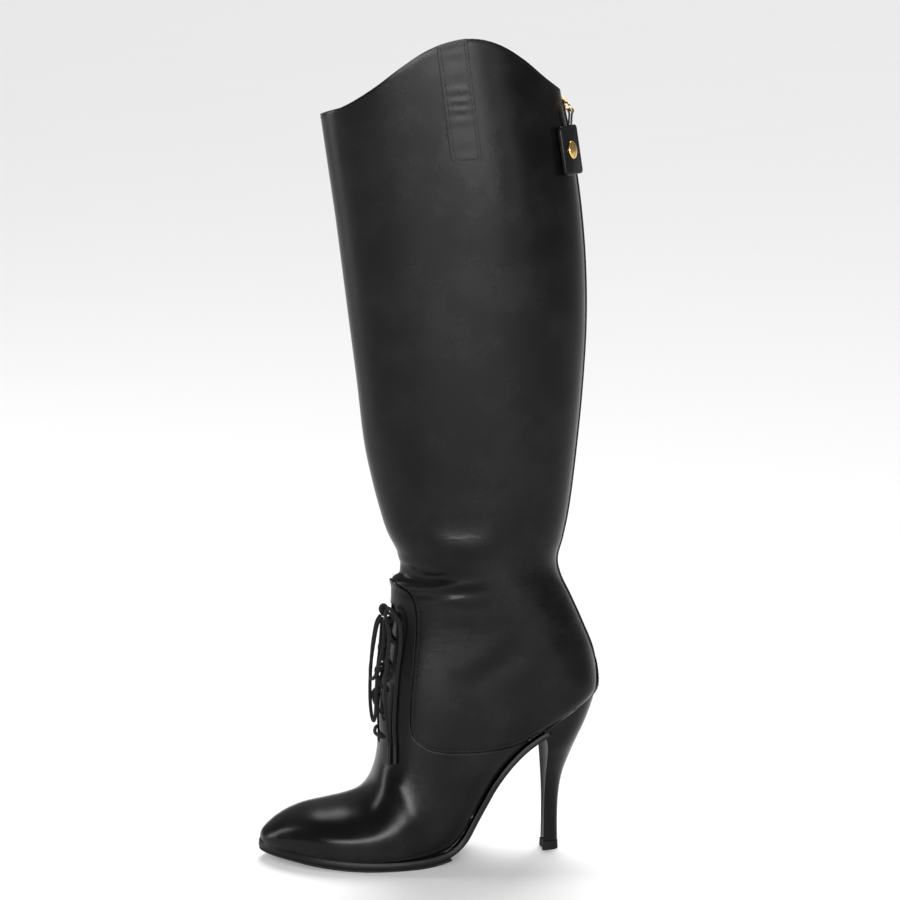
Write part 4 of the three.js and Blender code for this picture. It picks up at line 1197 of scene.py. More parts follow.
def even_shares(lines: Sequence[Array], count: int, fixed: Sequence[float] = ()) -> Array:
    """Spaces rows evenly over several lines at once.

    Args:
        lines: Points of each line, at even steps of the share.
        count: How many shares to return.
        fixed: Shares that have to be among them.

    Returns:
        Shares from 0 to 1.
    """
    runs = [running(line) for line in lines]
    mean = sum(run / run[-1] for run in runs) / len(runs)
    shares = np.interp(np.linspace(0, 1, count), mean, np.linspace(0, 1, len(mean)))
    for share in fixed:
        shares[1 + np.abs(shares[1:-1] - share).argmin()] = share
    return shares


@dataclass
class Part:
    """A sub-assembly, with its finishes and the last that it is built on."""

    looks: Finishes
    last: Last


@dataclass
class Upper(Part):
    """The quarters and shaft: one hollow leather wall, open at the collar, slit, zip and underneath."""

    sole: SoleLine
    wall: float = 2.0
    edge: float = 0.5
    zip_half: float = 4.5
    zip_bottom: float = 123.0
    slit_reach: float = 12.0
    turned_under: float = 11.0
    under_depth: float = 3.5
    under_places: tuple[float, float] = (0.5, 21.0)
    leg_place: float = 34.0
    guides: tuple[float, ...] = (0.25, 1.57, 2.6, 3.0)
    side_columns: int = 54
    strip_columns: int = 4
    rows: int = 236

    def angle(self, column: Array, place: Array) -> Array:
        """Finds the angle of a column of the leather.

        Args:
            column: Column numbers, from the inner edge of the front strip round the outer side.
            place: Places over the last's sections.

        Returns:
            Angles round the sections.
        """
        slit = {side: self.last.strip_angle(place, SLIT_HALF, Face.FRONT, side) for side in Side}
        slot = {side: self.last.strip_angle(place, self.zip_half, Face.BACK, side) for side in Side}
        whole = 2 * math.pi
        ends = [-slit[Side.INNER], slit[Side.OUTER], slot[Side.OUTER]]
        ends += [whole - slot[Side.INNER], whole - slit[Side.INNER]]
        found = np.zeros(np.shape(column))
        start = 0
        for k, count in enumerate((self.strip_columns, self.side_columns) * 2):
            share = (column - start) / count
            inside = (share >= 0) & (share <= 1)
            found = np.where(inside, ends[k] + (ends[k + 1] - ends[k]) * share, found)
            start += count
        return found

    def tops(self) -> Array:
        """Finds the place where each column meets the collar's edge.

        Returns:
            Places over the last's sections.
        """
        column = np.arange(2 * (self.strip_columns + self.side_columns) + 1)
        low, high = np.full(column.shape, self.leg_place), np.full(column.shape, float(self.last.top))
        for _ in range(HALVINGS):
            middle = (low + high) / 2
            angle = self.angle(column, middle)
            point = self.last.point(middle, angle)
            outer = self.last.collar_height(point[:, 0], Side.OUTER)
            inner = self.last.collar_height(point[:, 0], Side.INNER)
            under = point[:, 2] < np.where(np.sin(angle) > 0, outer, inner)
            low, high = np.where(under, middle, low), np.where(under, high, middle)
        return (low + high) / 2

    def build(self) -> None:
        """Builds the leather wall."""
        last, tops = self.last, self.tops()
        fixed = []
        for height, face in ((SLIT_BOTTOM, Face.FRONT), (SLIT_TOP, Face.FRONT), (self.zip_bottom, Face.BACK)):
            place, _ = last.find_end(np.array([[0.0, height]]), face)
            fixed.append(place[0] / tops[0 if face is Face.FRONT else len(tops) // 2])
        steps = np.linspace(0, 1, 800)
        lines = [last.point(steps * tops.mean(), np.full(steps.shape, turn)) for turn in self.guides]
        shares = even_shares(lines, self.rows, fixed)
        column, row = lattice(len(tops), self.rows)
        place = tops[column] * shares[row]
        leather = grid(len(tops), self.rows, last.surface(place, self.angle(column, place)))
        drop_faces(leather, self._open)
        self._open_underneath(leather)
        weld(leather)
        looks = [self.looks.calf, self.looks.lining]
        piece = finish_piece("upper_leather", leather, looks, ["upper"])
        give_wall(piece, self.wall, inside=1)
        round_edges(piece, self.edge)

    def _open(self, middle: Vector) -> bool:
        """Tells whether a face lies in the slit or in the zip's slot.

        Args:
            middle: The face's middle.

        Returns:
            Whether the leather is open there.
        """
        x, y, z = middle
        front = abs(y) < SLIT_HALF and SLIT_BOTTOM < z < SLIT_TOP and x < self.last.crook_x + self.slit_reach
        return front or (abs(y) < self.zip_half and z > self.zip_bottom and x > -self.last.heel_overhang)

    def _open_underneath(self, leather: Mesh) -> None:
        """Cuts the wall away under the foot, but for the margin that is turned under.

        Args:
            leather: The leather's mesh.
        """
        places = np.linspace(*self.under_places, 60)
        edges = [self.sole.feather(places, side, -self.turned_under) for side in Side]
        faces = [face for face in leather.faces if face.calc_center_median().z < self.last.heel_height]
        middles = np.array([face.calc_center_median() for face in faces])
        run, height = self.sole.measure(middles[:, 0], middles[:, 2])
        outer, inner = (np.interp(run, edge[:, 0], edge[:, 1]) for edge in edges)
        inside = (middles[:, 1] > outer) & (middles[:, 1] < inner) & (run < edges[0][-1, 0])
        doomed = [face for face, gone in zip(faces, inside & (height < self.under_depth)) if gone]
        bmesh.ops.delete(leather, geom=doomed, context="FACES")


@dataclass
class Vamp(Part):
    """The forepart's leather, laid over the quarters, with its seam and its lace holes."""

    wall: float = 0.95
    edge: float = 0.35
    lift: float = 1.3
    tucked_lift: float = 0.35
    tuck: tuple[float, float] = (2.15, 2.33)
    last_angle: float = 2.44
    guides: tuple = ((19.5, 0.8), (15.6, 1.2), (18, 2.2))
    side_columns: int = 110
    strip_columns: int = 4
    rows: int = 120
    seam_inset: float = 1.8
    stitch: Stitch = Stitch(1.9, 0.7, 0.42)
    hole_radius: float = 1.85
    hole_steps: tuple = ((0.25, 0.12), (0.25, -0.02), (0.15, -0.12))

    def _seam(self, side: Side, inset: float) -> tuple[Array, Array]:
        """Finds points of the seam on one side, evenly spaced.

        Args:
            side: The side of the boot.
            inset: How far inside the seam the points lie, in millimetres.

        Returns:
            Their places and angles.
        """
        last = self.last
        edge = [(last.toe_x + x * last.boot_length, z * last.crook_level) for x, z in VAMP_EDGE]
        line = smooth_line(edge, 600)
        heading = unit(np.gradient(line, axis=0))
        line = line + np.stack([-heading[:, 1], heading[:, 0]], -1) * inset
        place, angle = last.find_seen(line, side)
        points = last.point(place, angle)
        missed = np.hypot(points[:, 0] - line[:, 0], points[:, 2] - line[:, 1])
        fine = (missed < 0.05) & (np.abs(points[:, 1]) >= SLIT_HALF) & (np.abs(angle) < self.last_angle)
        first = int(np.argmax(fine))
        stop = first + int(np.argmin(fine[first:])) if not fine[first:].all() else len(fine)
        run = running(points[first:stop])
        wanted = np.linspace(0, run[-1], self.side_columns + 1)
        return np.interp(wanted, run, place[first:stop]), np.interp(wanted, run, angle[first:stop])

    def build(self) -> None:
        """Builds the forepart, its stitches and its lace holes."""
        leather = self._sheet()
        drop_faces(leather, self._in_slit)
        weld(leather)
        piece = finish_piece("vamp_leather", leather, [self.looks.vamp_calf], ["vamp"])
        give_wall(piece, self.wall)
        round_edges(piece, self.edge)
        self._stitches()
        self._holes()

    def _sheet(self) -> Mesh:
        """Lays the leather from the outer side's seam over the front to the inner side's.

        Returns:
            The sheet, before the slit is cut.
        """
        last, sides, strip = self.last, self.side_columns, self.strip_columns
        ends, shares_round = {}, {}
        for side in Side:
            ends[side], angle = self._seam(side, 0.0)
            start = last.strip_angle(ends[side], SLIT_HALF, Face.FRONT, side)
            shares_round[side] = (np.abs(angle) - start) / (self.last_angle - start)
        top = (ends[Side.OUTER][0] + ends[Side.INNER][0]) / 2
        fixed = [last.find_end(np.array([[0.0, z]]), Face.FRONT)[0][0] / top for z in (SLIT_BOTTOM, SLIT_TOP)]
        steps = np.linspace(0, 1, 500)
        guides = ((top, 0.3), *self.guides)
        lines = [last.point(steps * reach, np.full(steps.shape, turn)) for reach, turn in guides]
        shares = even_shares(lines, self.rows, fixed)
        columns = 2 * sides + strip + 1
        column, row = lattice(columns, self.rows)
        outer, inner = column <= sides, column >= sides + strip
        k = np.where(outer, sides - column, np.clip(column - sides - strip, 0, sides))
        reach = np.where(outer, ends[Side.OUTER][k], np.where(inner, ends[Side.INNER][k], top))
        place = reach * shares[row]
        edges = {side: last.strip_angle(place, SLIT_HALF, Face.FRONT, side) for side in Side}
        angles = {side: edges[side] + shares_round[side][k] * (self.last_angle - edges[side]) for side in Side}
        across = np.clip((column - sides) / strip, 0, 1)
        middle = edges[Side.OUTER] * (1 - across) - edges[Side.INNER] * across
        turn = np.where(outer, angles[Side.OUTER], np.where(inner, -angles[Side.INNER], middle))
        tucked = (self.lift - self.tucked_lift) * smooth_step(*self.tuck, np.abs(turn))
        leather = grid(columns, self.rows, last.surface(place, turn, self.lift - tucked))
        bmesh.ops.reverse_faces(leather, faces=leather.faces[:])
        return leather

    def _in_slit(self, middle: Vector) -> bool:
        """Tells whether a face lies in the slit."""
        return abs(middle.y) < SLIT_HALF and SLIT_BOTTOM < middle.z < SLIT_TOP

    def _stitches(self) -> None:
        """Sews the row along the seam on both sides."""
        rows = bmesh.new()
        for side in Side:
            place, angle = self._seam(side, self.seam_inset)
            points = self.last.surface(place, angle, self.lift + 0.04)
            self.stitch.sew(rows, points, self.last.normal(place, angle))
        finish_piece("vamp_stitches", rows, [self.looks.thread])

    def _holes(self) -> None:
        """Presses the rims of the lace holes beside the slit."""
        rims = bmesh.new()
        for side in (-EYELET_SIDE, EYELET_SIDE):
            for height in EYELET_HEIGHTS:
                place, angle = self.last.find_end(np.array([[side, height]]), Face.FRONT)
                away = self.last.normal(place, angle)[0]
                centre = self.last.surface(place, angle, self.lift + 0.02)[0]
                rim = {"radius": self.hole_radius, "matrix": basis(centre, unit(np.cross(away, INWARD)), away)}
                made = bmesh.ops.create_circle(rims, segments=16, cap_ends=True, **rim)
                face = made["verts"][0].link_faces[0]
                for thickness, depth in self.hole_steps:
                    bmesh.ops.inset_individual(rims, faces=[face], thickness=thickness, depth=depth)
        face_outwards(rims)
        finish_piece("lace_holes", rims, [self.looks.trim_calf])


@dataclass
class Tongue(Part):
    """The tongue behind the slit."""

    width: float = 50.0
    low: float = 65.0
    high: float = 178.0
    lift: float = -2.35
    wall: float = 1.55
    edge: float = 0.4
    columns: int = 33
    rows: int = 90

    def build(self) -> None:
        """Builds the tongue."""
        column, row = lattice(self.columns, self.rows)
        height = self.low + (self.high - self.low) * row / (self.rows - 1)
        side = self.width * (0.5 - column / (self.columns - 1))
        place, angle = self.last.find_end(np.stack([side, height], -1), Face.FRONT)
        leather = grid(self.columns, self.rows, self.last.surface(place, angle, self.lift))
        looks = [self.looks.calf, self.looks.lining]
        piece = finish_piece("tongue_leather", leather, looks, ["tongue"])
        give_wall(piece, self.wall, inside=1)
        round_edges(piece, self.edge)


@dataclass
class PullStrap(Part):
    """The strap sewn flat to the outer side, from the collar down."""

    width: float = 18.0
    length: float = 71.0
    lean: float = 9.0
    lift: float = 1.5
    wall: float = 1.2
    edge: float = 0.4
    corner: float = 4.5
    seam: float = 2.0
    over_collar: float = 0.3
    level_length: float = 14.0
    wrinkle: float = 0.05
    wrinkled_half: float = 6.5
    stitch: Stitch = Stitch(2.1, 0.8, 0.5)
    columns: int = 25
    rows: int = 74
    corner_rows: int = 16

    def spot(self, side: Array, down: Array) -> Array:
        """Finds places on the strap as seen from the outer side.

        Args:
            side: Distances from its middle line.
            down: Distances from its top.

        Returns:
            The x and z of each.
        """
        top_x = (self.last.front_collar_x + self.last.back_collar_x) / 2
        top_z = self.last.collar_height(np.array(top_x), Side.OUTER)
        x = top_x + side + self.lean * down / self.length
        level = 1 - smooth_step(0.0, self.level_length, down)
        return np.stack([x, top_z - down + (self.last.collar_height(x, Side.OUTER) - top_z) * level], -1)

    def half_at(self, down: Array) -> Array:
        """Returns half the strap's width at distances from its top, with its round lower corners."""
        short = np.clip(down - (self.length - self.corner), 0, self.corner)
        return self.width / 2 - self.corner + np.sqrt(np.maximum(self.corner**2 - short**2, 0.04))

    def place(self, side: Array, down: Array, lift: float) -> tuple[Array, Array]:
        """Finds points on the outer side of the shaft, over the strap's soft wrinkles.

        Args:
            side: Distances from the strap's middle line.
            down: Distances from its top.
            lift: How far the points lie off the last.

        Returns:
            The points and the directions away from the shaft.
        """
        place, angle = self.last.find_seen(self.spot(side, down), Side.OUTER)
        ripple = np.sin(down * 0.8 + 2.3 * np.sin(down * 0.17) + 0.05 * side)
        fade = np.exp(-((side / self.wrinkled_half) ** 2)) * (0.4 + 0.6 * np.sin(down * 0.045) ** 2)
        wrinkles = self.wrinkle * ripple * fade
        return self.last.surface(place, angle, lift + wrinkles), self.last.normal(place, angle)

    def build(self) -> None:
        """Builds the strap and its stitches."""
        straight = self.length - self.corner
        round_off = np.sin(np.linspace(0.08, 1, self.corner_rows) * math.pi / 2)
        downs = np.linspace(-self.over_collar, straight, self.rows)
        downs = np.concatenate([downs, straight + self.corner * round_off])
        column, row = lattice(self.columns, len(downs))
        down = downs[::-1][row]
        side = (2 * column / (self.columns - 1) - 1) * self.half_at(down)
        leather = grid(self.columns, len(downs), self.place(side, down, self.lift)[0])
        strap = finish_piece("strap_leather", leather, [self.looks.trim_calf], ["pull_strap"])
        give_wall(strap, self.wall)
        round_edges(strap, self.edge, 3)
        self._stitches()

    def _stitches(self) -> None:
        """Sews the row down one side, round the lower corners and up the other."""
        reach, inner = self.length - self.seam, self.corner - self.seam
        bend = np.linspace(0, math.pi / 2, 8)
        half = self.width / 2
        side = np.concatenate([np.full(30, half - self.seam), half - self.corner + inner * np.cos(bend)])
        down = np.concatenate([np.linspace(1.5, reach - inner, 30), reach - inner + inner * np.sin(bend)])
        route = np.stack([np.concatenate([-side, side[::-1]]), np.concatenate([down, down[::-1]])], -1)
        route = smooth_line(route, 260)
        points, away = self.place(route[:, 0], route[:, 1], self.lift + 0.05)
        seam = bmesh.new()
        self.stitch.sew(seam, points, away)
        finish_piece("strap_stitches", seam, [self.looks.thread])


@dataclass
class BackStay(Part):
    """The stay over the seam at the back of the heel."""

    top: float = 122.0
    height: float = 20.0
    width: float = 26.0
    tail: float = 3.0
    lift: float = 1.3
    wall: float = 0.95
    edge: float = 0.35
    outline: tuple = ((0.0, 0.0), (0.2, 0.05), (0.45, 0.3), (0.72, 0.65), (0.94, 1.1), (1.0, 1.55))
    seam: float = 1.7
    seam_share: float = 0.86
    stitch: Stitch = Stitch(1.6, 0.6, 0.4)
    columns: int = 41
    rows: int = 24

    def __post_init__(self) -> None:
        """Draws half the outline, from the middle of the top to the lower corner."""
        half = [(side * self.width / 2, self.top - drop * self.height) for side, drop in self.outline]
        self.half = smooth_line(half, 200)

    def upper_edge(self, side: Array) -> Array:
        """Returns the height of the upper edge at sides."""
        return np.interp(np.abs(side), self.half[:, 0], self.half[:, 1])

    def build(self) -> None:
        """Builds the stay and its stitches."""
        bottom = float(self.half[-1, 1]) - self.tail
        column, row = lattice(self.columns, self.rows)
        side = self.width / 2 * np.sin((2 * column / (self.columns - 1) - 1) * math.pi / 2)
        height = bottom + (self.upper_edge(side) - bottom) * row / (self.rows - 1)
        place, angle = self.last.find_end(np.stack([side, height], -1), Face.BACK)
        leather = grid(self.columns, self.rows, self.last.surface(place, angle, self.lift))
        stay = finish_piece("stay_leather", leather, [self.looks.vamp_calf], ["back_stay"])
        give_wall(stay, self.wall)
        round_edges(stay, self.edge)
        side = np.linspace(-self.seam_share, self.seam_share, 90) * self.width / 2
        place, angle = self.last.find_end(np.stack([side, self.upper_edge(side) - self.seam], -1), Face.BACK)
        rows = bmesh.new()
        self.stitch.sew(rows, self.last.surface(place, angle, self.lift + 0.04), self.last.normal(place, angle))
        finish_piece("stay_stitches", rows, [self.looks.thread])


@dataclass
class Sole(Part):
    """Outsole, rubber half sole and insole, laid along the line of the sole."""

    sole: SoleLine
    lip: float = 1.2
    hidden_top: float = -0.35
    margin: float = 1.8
    waist_margin: float = -0.4
    seat_margin: float = -2.6
    waist: tuple[float, float] = (11.5, 15.0)
    seat: tuple[float, float] = (17.0, 19.8)
    under: float = 3.3
    under_shank: float = 2.5
    breast_place: float = 20.1
    half_sole_place: float = 12.7
    half_sole_margin: float = 1.3
    half_sole_low: float = 5.2
    insole_place: float = 21.4
    insole_margin: float = -3.4
    insole_low: float = 2.4
    insole_high: float = 4.3
    rounding: float = 0.6
    crowding: float = 1.6

    def margins(self, place: Array) -> Array:
        """Returns how far the outsole stands out at places."""
        waist = self.margin + (self.waist_margin - self.margin) * smooth_step(*self.waist, place)
        return waist + (self.seat_margin - self.waist_margin) * smooth_step(*self.seat, place)

    def bottoms(self, place: Array) -> Array:
        """Returns the height of the outsole's underside at places."""
        return -self.under + (self.under - self.under_shank) * smooth_step(*self.waist, place)

    def layer(
        self, to_place: float, margin: Array, tops: Sequence[float], bottom: Array, rounding: float
    ) -> Mesh:
        """Makes one layer.

        Args:
            to_place: Where it ends, over the last's sections.
            margin: How far it stands outside the feather edge at each row.
            tops: Height of its lip and of its hidden top.
            bottom: Height of its underside at each row.
            rounding: Size of its rounded lower edge.

        Returns:
            The layer.
        """
        rows = len(margin)
        places = to_place * np.linspace(0, 1, rows) ** self.crowding
        lip, top = tops
        flat = np.zeros(rows)
        turn = np.linspace(0, math.pi / 2, 5)[1:]
        narrow = np.minimum(0.3, 0.4 * np.abs(margin) + 0.05)
        inset = [np.abs(margin) + 0.6, np.abs(margin) * 0.9 + 0.1, narrow, flat, flat]
        height = [flat + top, flat + lip * 0.9, flat + lip, flat + lip - 0.25, bottom + rounding]
        inset += [flat + rounding * (1 - math.cos(angle)) for angle in turn]
        height += [bottom + rounding * (1 - math.sin(angle)) for angle in turn]
        outer, inner = ([self.sole.feather(places, side, margin - depth) for depth in inset] for side in Side)
        shares = (0.25, 0.5, 0.75)
        below = [outer[-1] * (1 - share) + inner[-1] * share for share in shares]
        above = [inner[0] * (1 - share) + outer[0] * share for share in shares]
        ring = np.stack(outer + below + inner[::-1] + above)
        level = np.stack(height + [bottom] * 3 + height[::-1] + [height[0]] * 3)
        column, row = lattice(len(ring) + 1, rows)
        column = column % len(ring)
        spots = ring[column, row]
        made = grid(len(ring) + 1, rows, self.sole.spot(spots[:, 0], spots[:, 1], level[column, row]))
        weld(made, 0.01)
        close_ends(made)
        return made

    def build(self) -> None:
        """Builds the three layers."""
        places = self.breast_place * np.linspace(0, 1, 190) ** self.crowding
        tops = (self.lip, self.hidden_top)
        outsole = self.layer(self.breast_place, self.margins(places), tops, self.bottoms(places), 0.7)
        finish_piece("outsole_edge", outsole, [self.looks.sole_edge], ["outsole"])
        flat = np.zeros(110)
        tops = (-self.under - 0.25, -self.under - 0.3)
        low = flat - self.half_sole_low
        half = self.layer(self.half_sole_place, flat + self.half_sole_margin, tops, low, self.rounding)
        for vertex in half.verts:
            vertex.co.z = max(vertex.co.z, 0.02)
        face_outwards(half)
        finish_piece("half_sole_rubber", half, [self.looks.rubber], ["half_sole"])
        flat = np.zeros(90)
        tops = (self.insole_high, self.insole_high)
        low = flat + self.insole_low
        insole = self.layer(self.insole_place, flat + self.insole_margin, tops, low, self.rounding)
        finish_piece("insole_sock", insole, [self.looks.lining], ["insole"])


@dataclass
class Heel(Part):
    """The leather-covered stiletto block and its rubber tip."""

    sole: SoleLine
    width: float = 52.0
    tip_height: float = 6.0
    tip_depth: float = 10.4
    tip_width: float = 11.2
    tip_gap: float = 0.25
    tip_flare: float = 0.25
    tip_hollow: float = 1.04
    lip: float = 2.6
    breast_top: float = -2.7
    reach: tuple[float, float] = (60.0, 118.0)
    squareness: float = 0.85
    back_steps: int = 56
    breast_steps: int = 20
    rows: int = 90
    tip_rows: int = 7

    def __post_init__(self) -> None:
        """Spreads the sections over fine steps of height."""
        steps = np.linspace(0, len(HEEL_SECTIONS) - 1, 400)
        height, *self.sizes = (smooth_value(column, steps) for column in np.array(HEEL_SECTIONS).T)
        stretch = (self.last.heel_height - self.tip_height) / (1 - HEEL_SECTIONS[0][0])
        self.levels = self.tip_height + (height - HEEL_SECTIONS[0][0]) * stretch

    def ring(self, column: Array, back: Array, breast: Array, half: Array, hollow: Array | float) -> Array:
        """Finds points round a section, from the outer corner of the breast round the back.

        Args:
            column: The points' columns.
            back: How far the section reaches to the back.
            breast: Where its flat front face lies.
            half: Half its width.
            hollow: How far its front face is hollowed.

        Returns:
            The x and y of each.
        """
        angle = math.pi * np.minimum(column, self.back_steps) / self.back_steps - math.pi / 2
        side = 1 - 2 * (column - self.back_steps) / self.breast_steps
        behind = column <= self.back_steps
        round_back = breast + (back - breast) * np.abs(np.cos(angle)) ** self.squareness
        x = np.where(behind, round_back, breast + hollow * (1 - side**2))
        return np.stack([x, np.where(behind, half * np.sin(angle), half * side)], -1)

    def spot(self, column: Array, z: Array) -> Array:
        """Finds points of the block's side.

        Args:
            column: The points' columns.
            z: Their heights.

        Returns:
            The points.
        """
        back, breast, half, hollow = (np.interp(z, self.levels, size) for size in self.sizes)
        over = self.last.heel_overhang
        flat = self.ring(column, back * over, breast * over, half * self.width, hollow * self.width)
        return np.concatenate([flat, np.asarray(z)[..., None]], -1)

    def tops(self) -> Array:
        """Finds where each column ends under the sole or at the rim of the seat.

        Returns:
            Heights.
        """
        column = np.arange(self.back_steps + self.breast_steps + 1)
        low, high = (np.full(column.shape, level) for level in self.reach)
        for _ in range(26):
            middle = (low + high) / 2
            spots = self.spot(column, middle)
            _, height = self.sole.measure(spots[:, 0], spots[:, 2])
            under = height < np.where(column <= self.back_steps, self.lip, self.breast_top)
            low, high = np.where(under, middle, low), np.where(under, high, middle)
        return (low + high) / 2

    def build(self) -> None:
        """Builds the block and the tip."""
        count = self.back_steps + self.breast_steps
        shares = np.linspace(0, 1, self.rows)
        column, row = lattice(count + 1, self.rows)
        column = column % count
        height = self.tip_height + (self.tops()[column] - self.tip_height) * shares[row]
        block = grid(count + 1, self.rows, self.spot(column, height))
        column, row = lattice(count + 1, self.tip_rows)
        share = row / (self.tip_rows - 1)
        grow = self.tip_flare * (1 - share)
        half, back = self.tip_width / 2 + grow, self.tip_depth / 2 + grow
        flat = self.ring(column % count, back, -back, half, self.tip_hollow)
        height = share * (self.tip_height - self.tip_gap)
        tip = grid(count + 1, self.tip_rows, np.concatenate([flat, height[:, None]], -1))
        for name, mesh, material, slot, node, edge in (
            ("heel_cover", block, self.looks.heel_calf, "leather", "heel_block", 0.45),
            ("heel_tip_rubber", tip, self.looks.rubber, "rubber", "heel_tip", 0.4),
        ):
            weld(mesh)
            close_ends(mesh)
            round_edges(finish_piece(name, mesh, [material], [node]), edge, 3, 40.0)


def up_along(away: Array) -> Array:
    """Returns the direction up along a surface that faces away."""
    return unit(UP - away * away[2])


def place_on_back(last: Last, side: float, height: float, lift: float) -> tuple[Array, Array, Array]:
    """Finds a spot on the back of the leg.

    Args:
        last: The boot's last.
        side: Its distance to the inner side.
        height: Its height.
        lift: How far it lies off the last.

    Returns:
        The point, the direction up along the leg and the direction away from it.
    """
    place, angle = last.find_end(np.array([[side, height]]), Face.BACK)
    away = last.normal(place, angle)[0]
    return last.surface(place, angle, lift)[0], up_along(away), away


@dataclass
class Zip(Part):
    """The zip down the back: tape, teeth and slider."""

    tape_half: float = 13.0
    tape_lift: float = -2.32
    tape_wall: float = 0.86
    tape_columns: int = 17
    tape_rows: int = 200
    bottom: float = 117.0
    top: float = 467.0
    chain_bottom: float = 126.0
    chain_top: float = 460.9
    pitch: float = 1.7
    tooth: tuple[float, float, float] = (1.25, 3.4, 1.9)
    tooth_side: float = 0.9
    tooth_lift: float = -0.75
    slider_gap: float = 0.6
    slider_length: float = 8.4
    slider_width: float = 7.4
    slider_depth: float = 1.4
    arch_height: float = 2.9
    arch_length: float = 5.6
    arch_foot: float = 0.5
    arch_breadth: float = 1.7
    wire: float = 0.5

    @property
    def slider_level(self) -> float:
        """Returns the height of the slider's middle."""
        return self.chain_top + self.slider_gap + self.slider_length / 2

    def build(self) -> None:
        """Builds the tape, the teeth and the slider."""
        last = self.last
        column, row = lattice(self.tape_columns, self.tape_rows)
        height = self.bottom + (self.top - self.bottom) * row / (self.tape_rows - 1)
        side = self.tape_half * (2 * column / (self.tape_columns - 1) - 1)
        place, angle = last.find_end(np.stack([side, height], -1), Face.BACK)
        points = last.surface(place, angle, self.tape_lift)
        cloth = grid(self.tape_columns, self.tape_rows, points, woven=True)
        tape = finish_piece("zip_tape_cloth", cloth, [self.looks.tape], ["zip_tape"])
        give_wall(tape, self.tape_wall)
        teeth = bmesh.new()
        heights = np.arange(self.chain_bottom, self.chain_top, self.pitch)
        sides = np.where(np.arange(len(heights)) % 2 == 0, -self.tooth_side, self.tooth_side)
        places, angles = last.find_end(np.stack([sides, heights], -1), Face.BACK)
        size = Matrix.Diagonal((*self.tooth, 1))
        for point, away in zip(last.surface(places, angles, self.tooth_lift), last.normal(places, angles)):
            bmesh.ops.create_cube(teeth, size=1, matrix=basis(point, up_along(away), away) @ size)
        chain = finish_piece("zip_teeth", teeth, [self.looks.teeth], ["zip_chain"])
        round_edges(chain, 0.3)
        self._slider()

    def _slider(self) -> None:
        """Builds the slider with its arch."""
        body = flat_block((self.slider_length, self.slider_width, self.slider_depth), 1.6, 5)
        bmesh.ops.translate(body, vec=(0, 0, -self.slider_depth / 2), verts=body.verts[:])
        bevel(body, [edge for edge in body.edges if rise_of(edge) < 0.01], 0.35, 2)
        half, rise = self.arch_length / 2 - self.wire, self.arch_height - self.wire
        turn = np.linspace(0, math.pi, 19)
        arch_x = np.sign(np.cos(turn)) * half * np.abs(np.cos(turn)) ** 0.5
        arch_z = -self.arch_foot + (rise + self.arch_foot) * np.abs(np.sin(turn)) ** 0.5
        arch = tube(np.stack([arch_x, 0 * turn, arch_z], -1), self.wire)
        bmesh.ops.scale(arch, vec=(1, self.arch_breadth, 1), verts=arch.verts[:])
        add_mesh(body, arch)
        where = basis(*place_on_back(self.last, 0.0, self.slider_level, 0.0))
        bmesh.ops.transform(body, matrix=where, verts=body.verts[:])
        face_outwards(body)
        finish_piece("zip_slider_brass", body, [self.looks.brass], ["zip_slider"])


